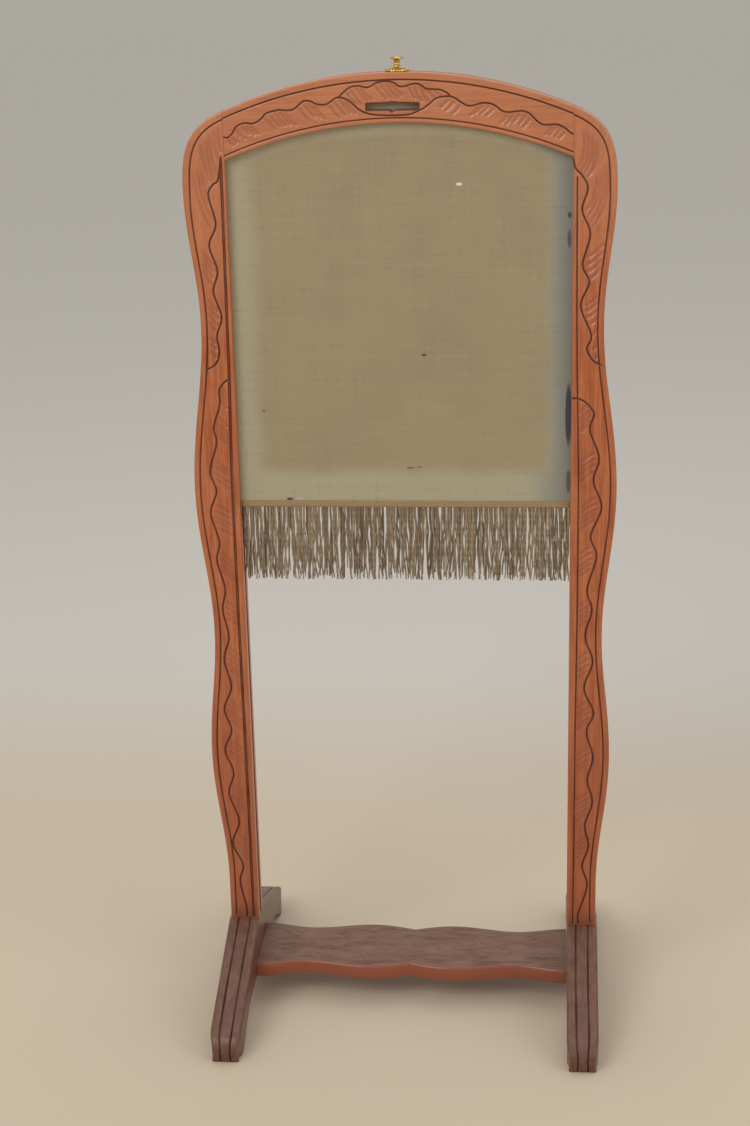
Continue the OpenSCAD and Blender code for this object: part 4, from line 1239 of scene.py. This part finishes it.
class FIRESCREEN_OT_stage(Operator):
    """Set the floor, the lamps, the world and the camera"""
    bl_idname = "firescreen.stage"
    bl_label = "Stage"

    def execute(self, context):
        settings = context.scene.firescreen_stage
        self.floor(settings)
        self.lamp("key", (-1.5, -2.3, 2.5), (0, 0, 0.6), 1.6, settings.key)
        self.lamp("fill", (2.2, -1.6, 1.5), (0, 0, 0.5), 1.8, settings.fill)
        self.lamp("top", (0.2, 0.6, 3.0), (0, 0, 0.4), 2.0, settings.top)
        world = bpy.data.worlds.new("Studio")
        world.use_nodes = True
        background = world.node_tree.nodes["Background"]
        background.inputs["Color"].default_value = (1.0, 0.985, 0.96, 1.0)
        background.inputs["Strength"].default_value = settings.world
        context.scene.world = world
        context.scene.view_settings.view_transform = "Standard"
        self.camera(context)
        return {"FINISHED"}

    def floor(self, settings):
        """Wide flat floor that turns from its own colour near the screen to the backdrop's far behind it."""
        size = 40
        mesh = bpy.data.meshes.new("floor")
        mesh.from_pydata([(-size, -size, 0), (size, -size, 0), (size, size, 0), (-size, size, 0)], [], [(0, 1, 2, 3)])
        floor = link(bpy.data.objects.new("floor", mesh))
        s = Shader("floor_plain")
        y = s.axes()[1]
        tone = s.mix(s.smooth(y, 250, 1100), settings.floor, settings.backdrop)
        mesh.materials.append(s.surface(Base_Color=tone, Roughness=0.6, Specular_IOR_Level=0.2))

    def lamp(self, name, place, aim, size, power):
        data = bpy.data.lights.new(name, "AREA")
        data.shape, data.size, data.energy = "SQUARE", size, power
        lamp = link(bpy.data.objects.new(name, data))
        lamp.location = place
        lamp.rotation_euler = (Vector(aim) - lamp.location).to_track_quat("-Z", "Y").to_euler()

    def camera(self, context):
        """Camera of the photograph: 2 m in front, above the rail and looking down."""
        data = bpy.data.cameras.new("camera")
        data.lens, data.sensor_width = 63.73, 36
        camera = link(bpy.data.objects.new("camera", data))
        right, up, forward = (0.99595, 0.08708, -0.02263), (-0.00629, 0.31824, 0.94799), (-0.08975, 0.944, -0.3175)
        turn = Matrix((right, up, [-v for v in forward])).transposed()
        camera.matrix_world = Matrix.Translation((0.154, -1.9611, 1.1544)) @ turn.to_4x4()
        context.scene.camera = camera


class FIRESCREEN_PT_panel(Panel):
    """Settings and pieces of the fire screen"""
    bl_idname = "FIRESCREEN_PT_panel"
    bl_label = "Fire Screen"
    bl_space_type = "VIEW_3D"
    bl_region_type = "UI"
    bl_category = "Fire Screen"

    def draw(self, context):
        for name, _ in SETTINGS:
            settings = getattr(context.scene, name)
            box = self.layout.box()
            for prop in settings.__annotations__:
                box.prop(settings, prop)
        for operator in OPERATORS:
            self.layout.operator(operator.bl_idname)


SETTINGS = [("firescreen_carved", CarvedWoodSettings), ("firescreen_stand", StandWoodSettings),
            ("firescreen_cloth", ClothSettings), ("firescreen_brass", BrassSettings),
            ("firescreen_stage", StageSettings)]
OPERATORS = [FIRESCREEN_OT_stage, FIRESCREEN_OT_uprights, FIRESCREEN_OT_rails, FIRESCREEN_OT_feet,
             FIRESCREEN_OT_stretcher, FIRESCREEN_OT_silk, FIRESCREEN_OT_fringe, FIRESCREEN_OT_knob,
             FIRESCREEN_OT_fittings]


def register():
    for cls in [kind for _, kind in SETTINGS] + OPERATORS + [FIRESCREEN_PT_panel]:
        bpy.utils.register_class(cls)
    for name, kind in SETTINGS:
        setattr(bpy.types.Scene, name, PointerProperty(type=kind))


def unregister():
    for name, _ in SETTINGS:
        delattr(bpy.types.Scene, name)
    for cls in [FIRESCREEN_PT_panel] + OPERATORS[::-1] + [kind for _, kind in SETTINGS]:
        bpy.utils.unregister_class(cls)


def main():
    register()
    for operator in OPERATORS:
        group, name = operator.bl_idname.split(".")
        getattr(getattr(bpy.ops, group), name)()


if __name__ == "__main__":
    main()
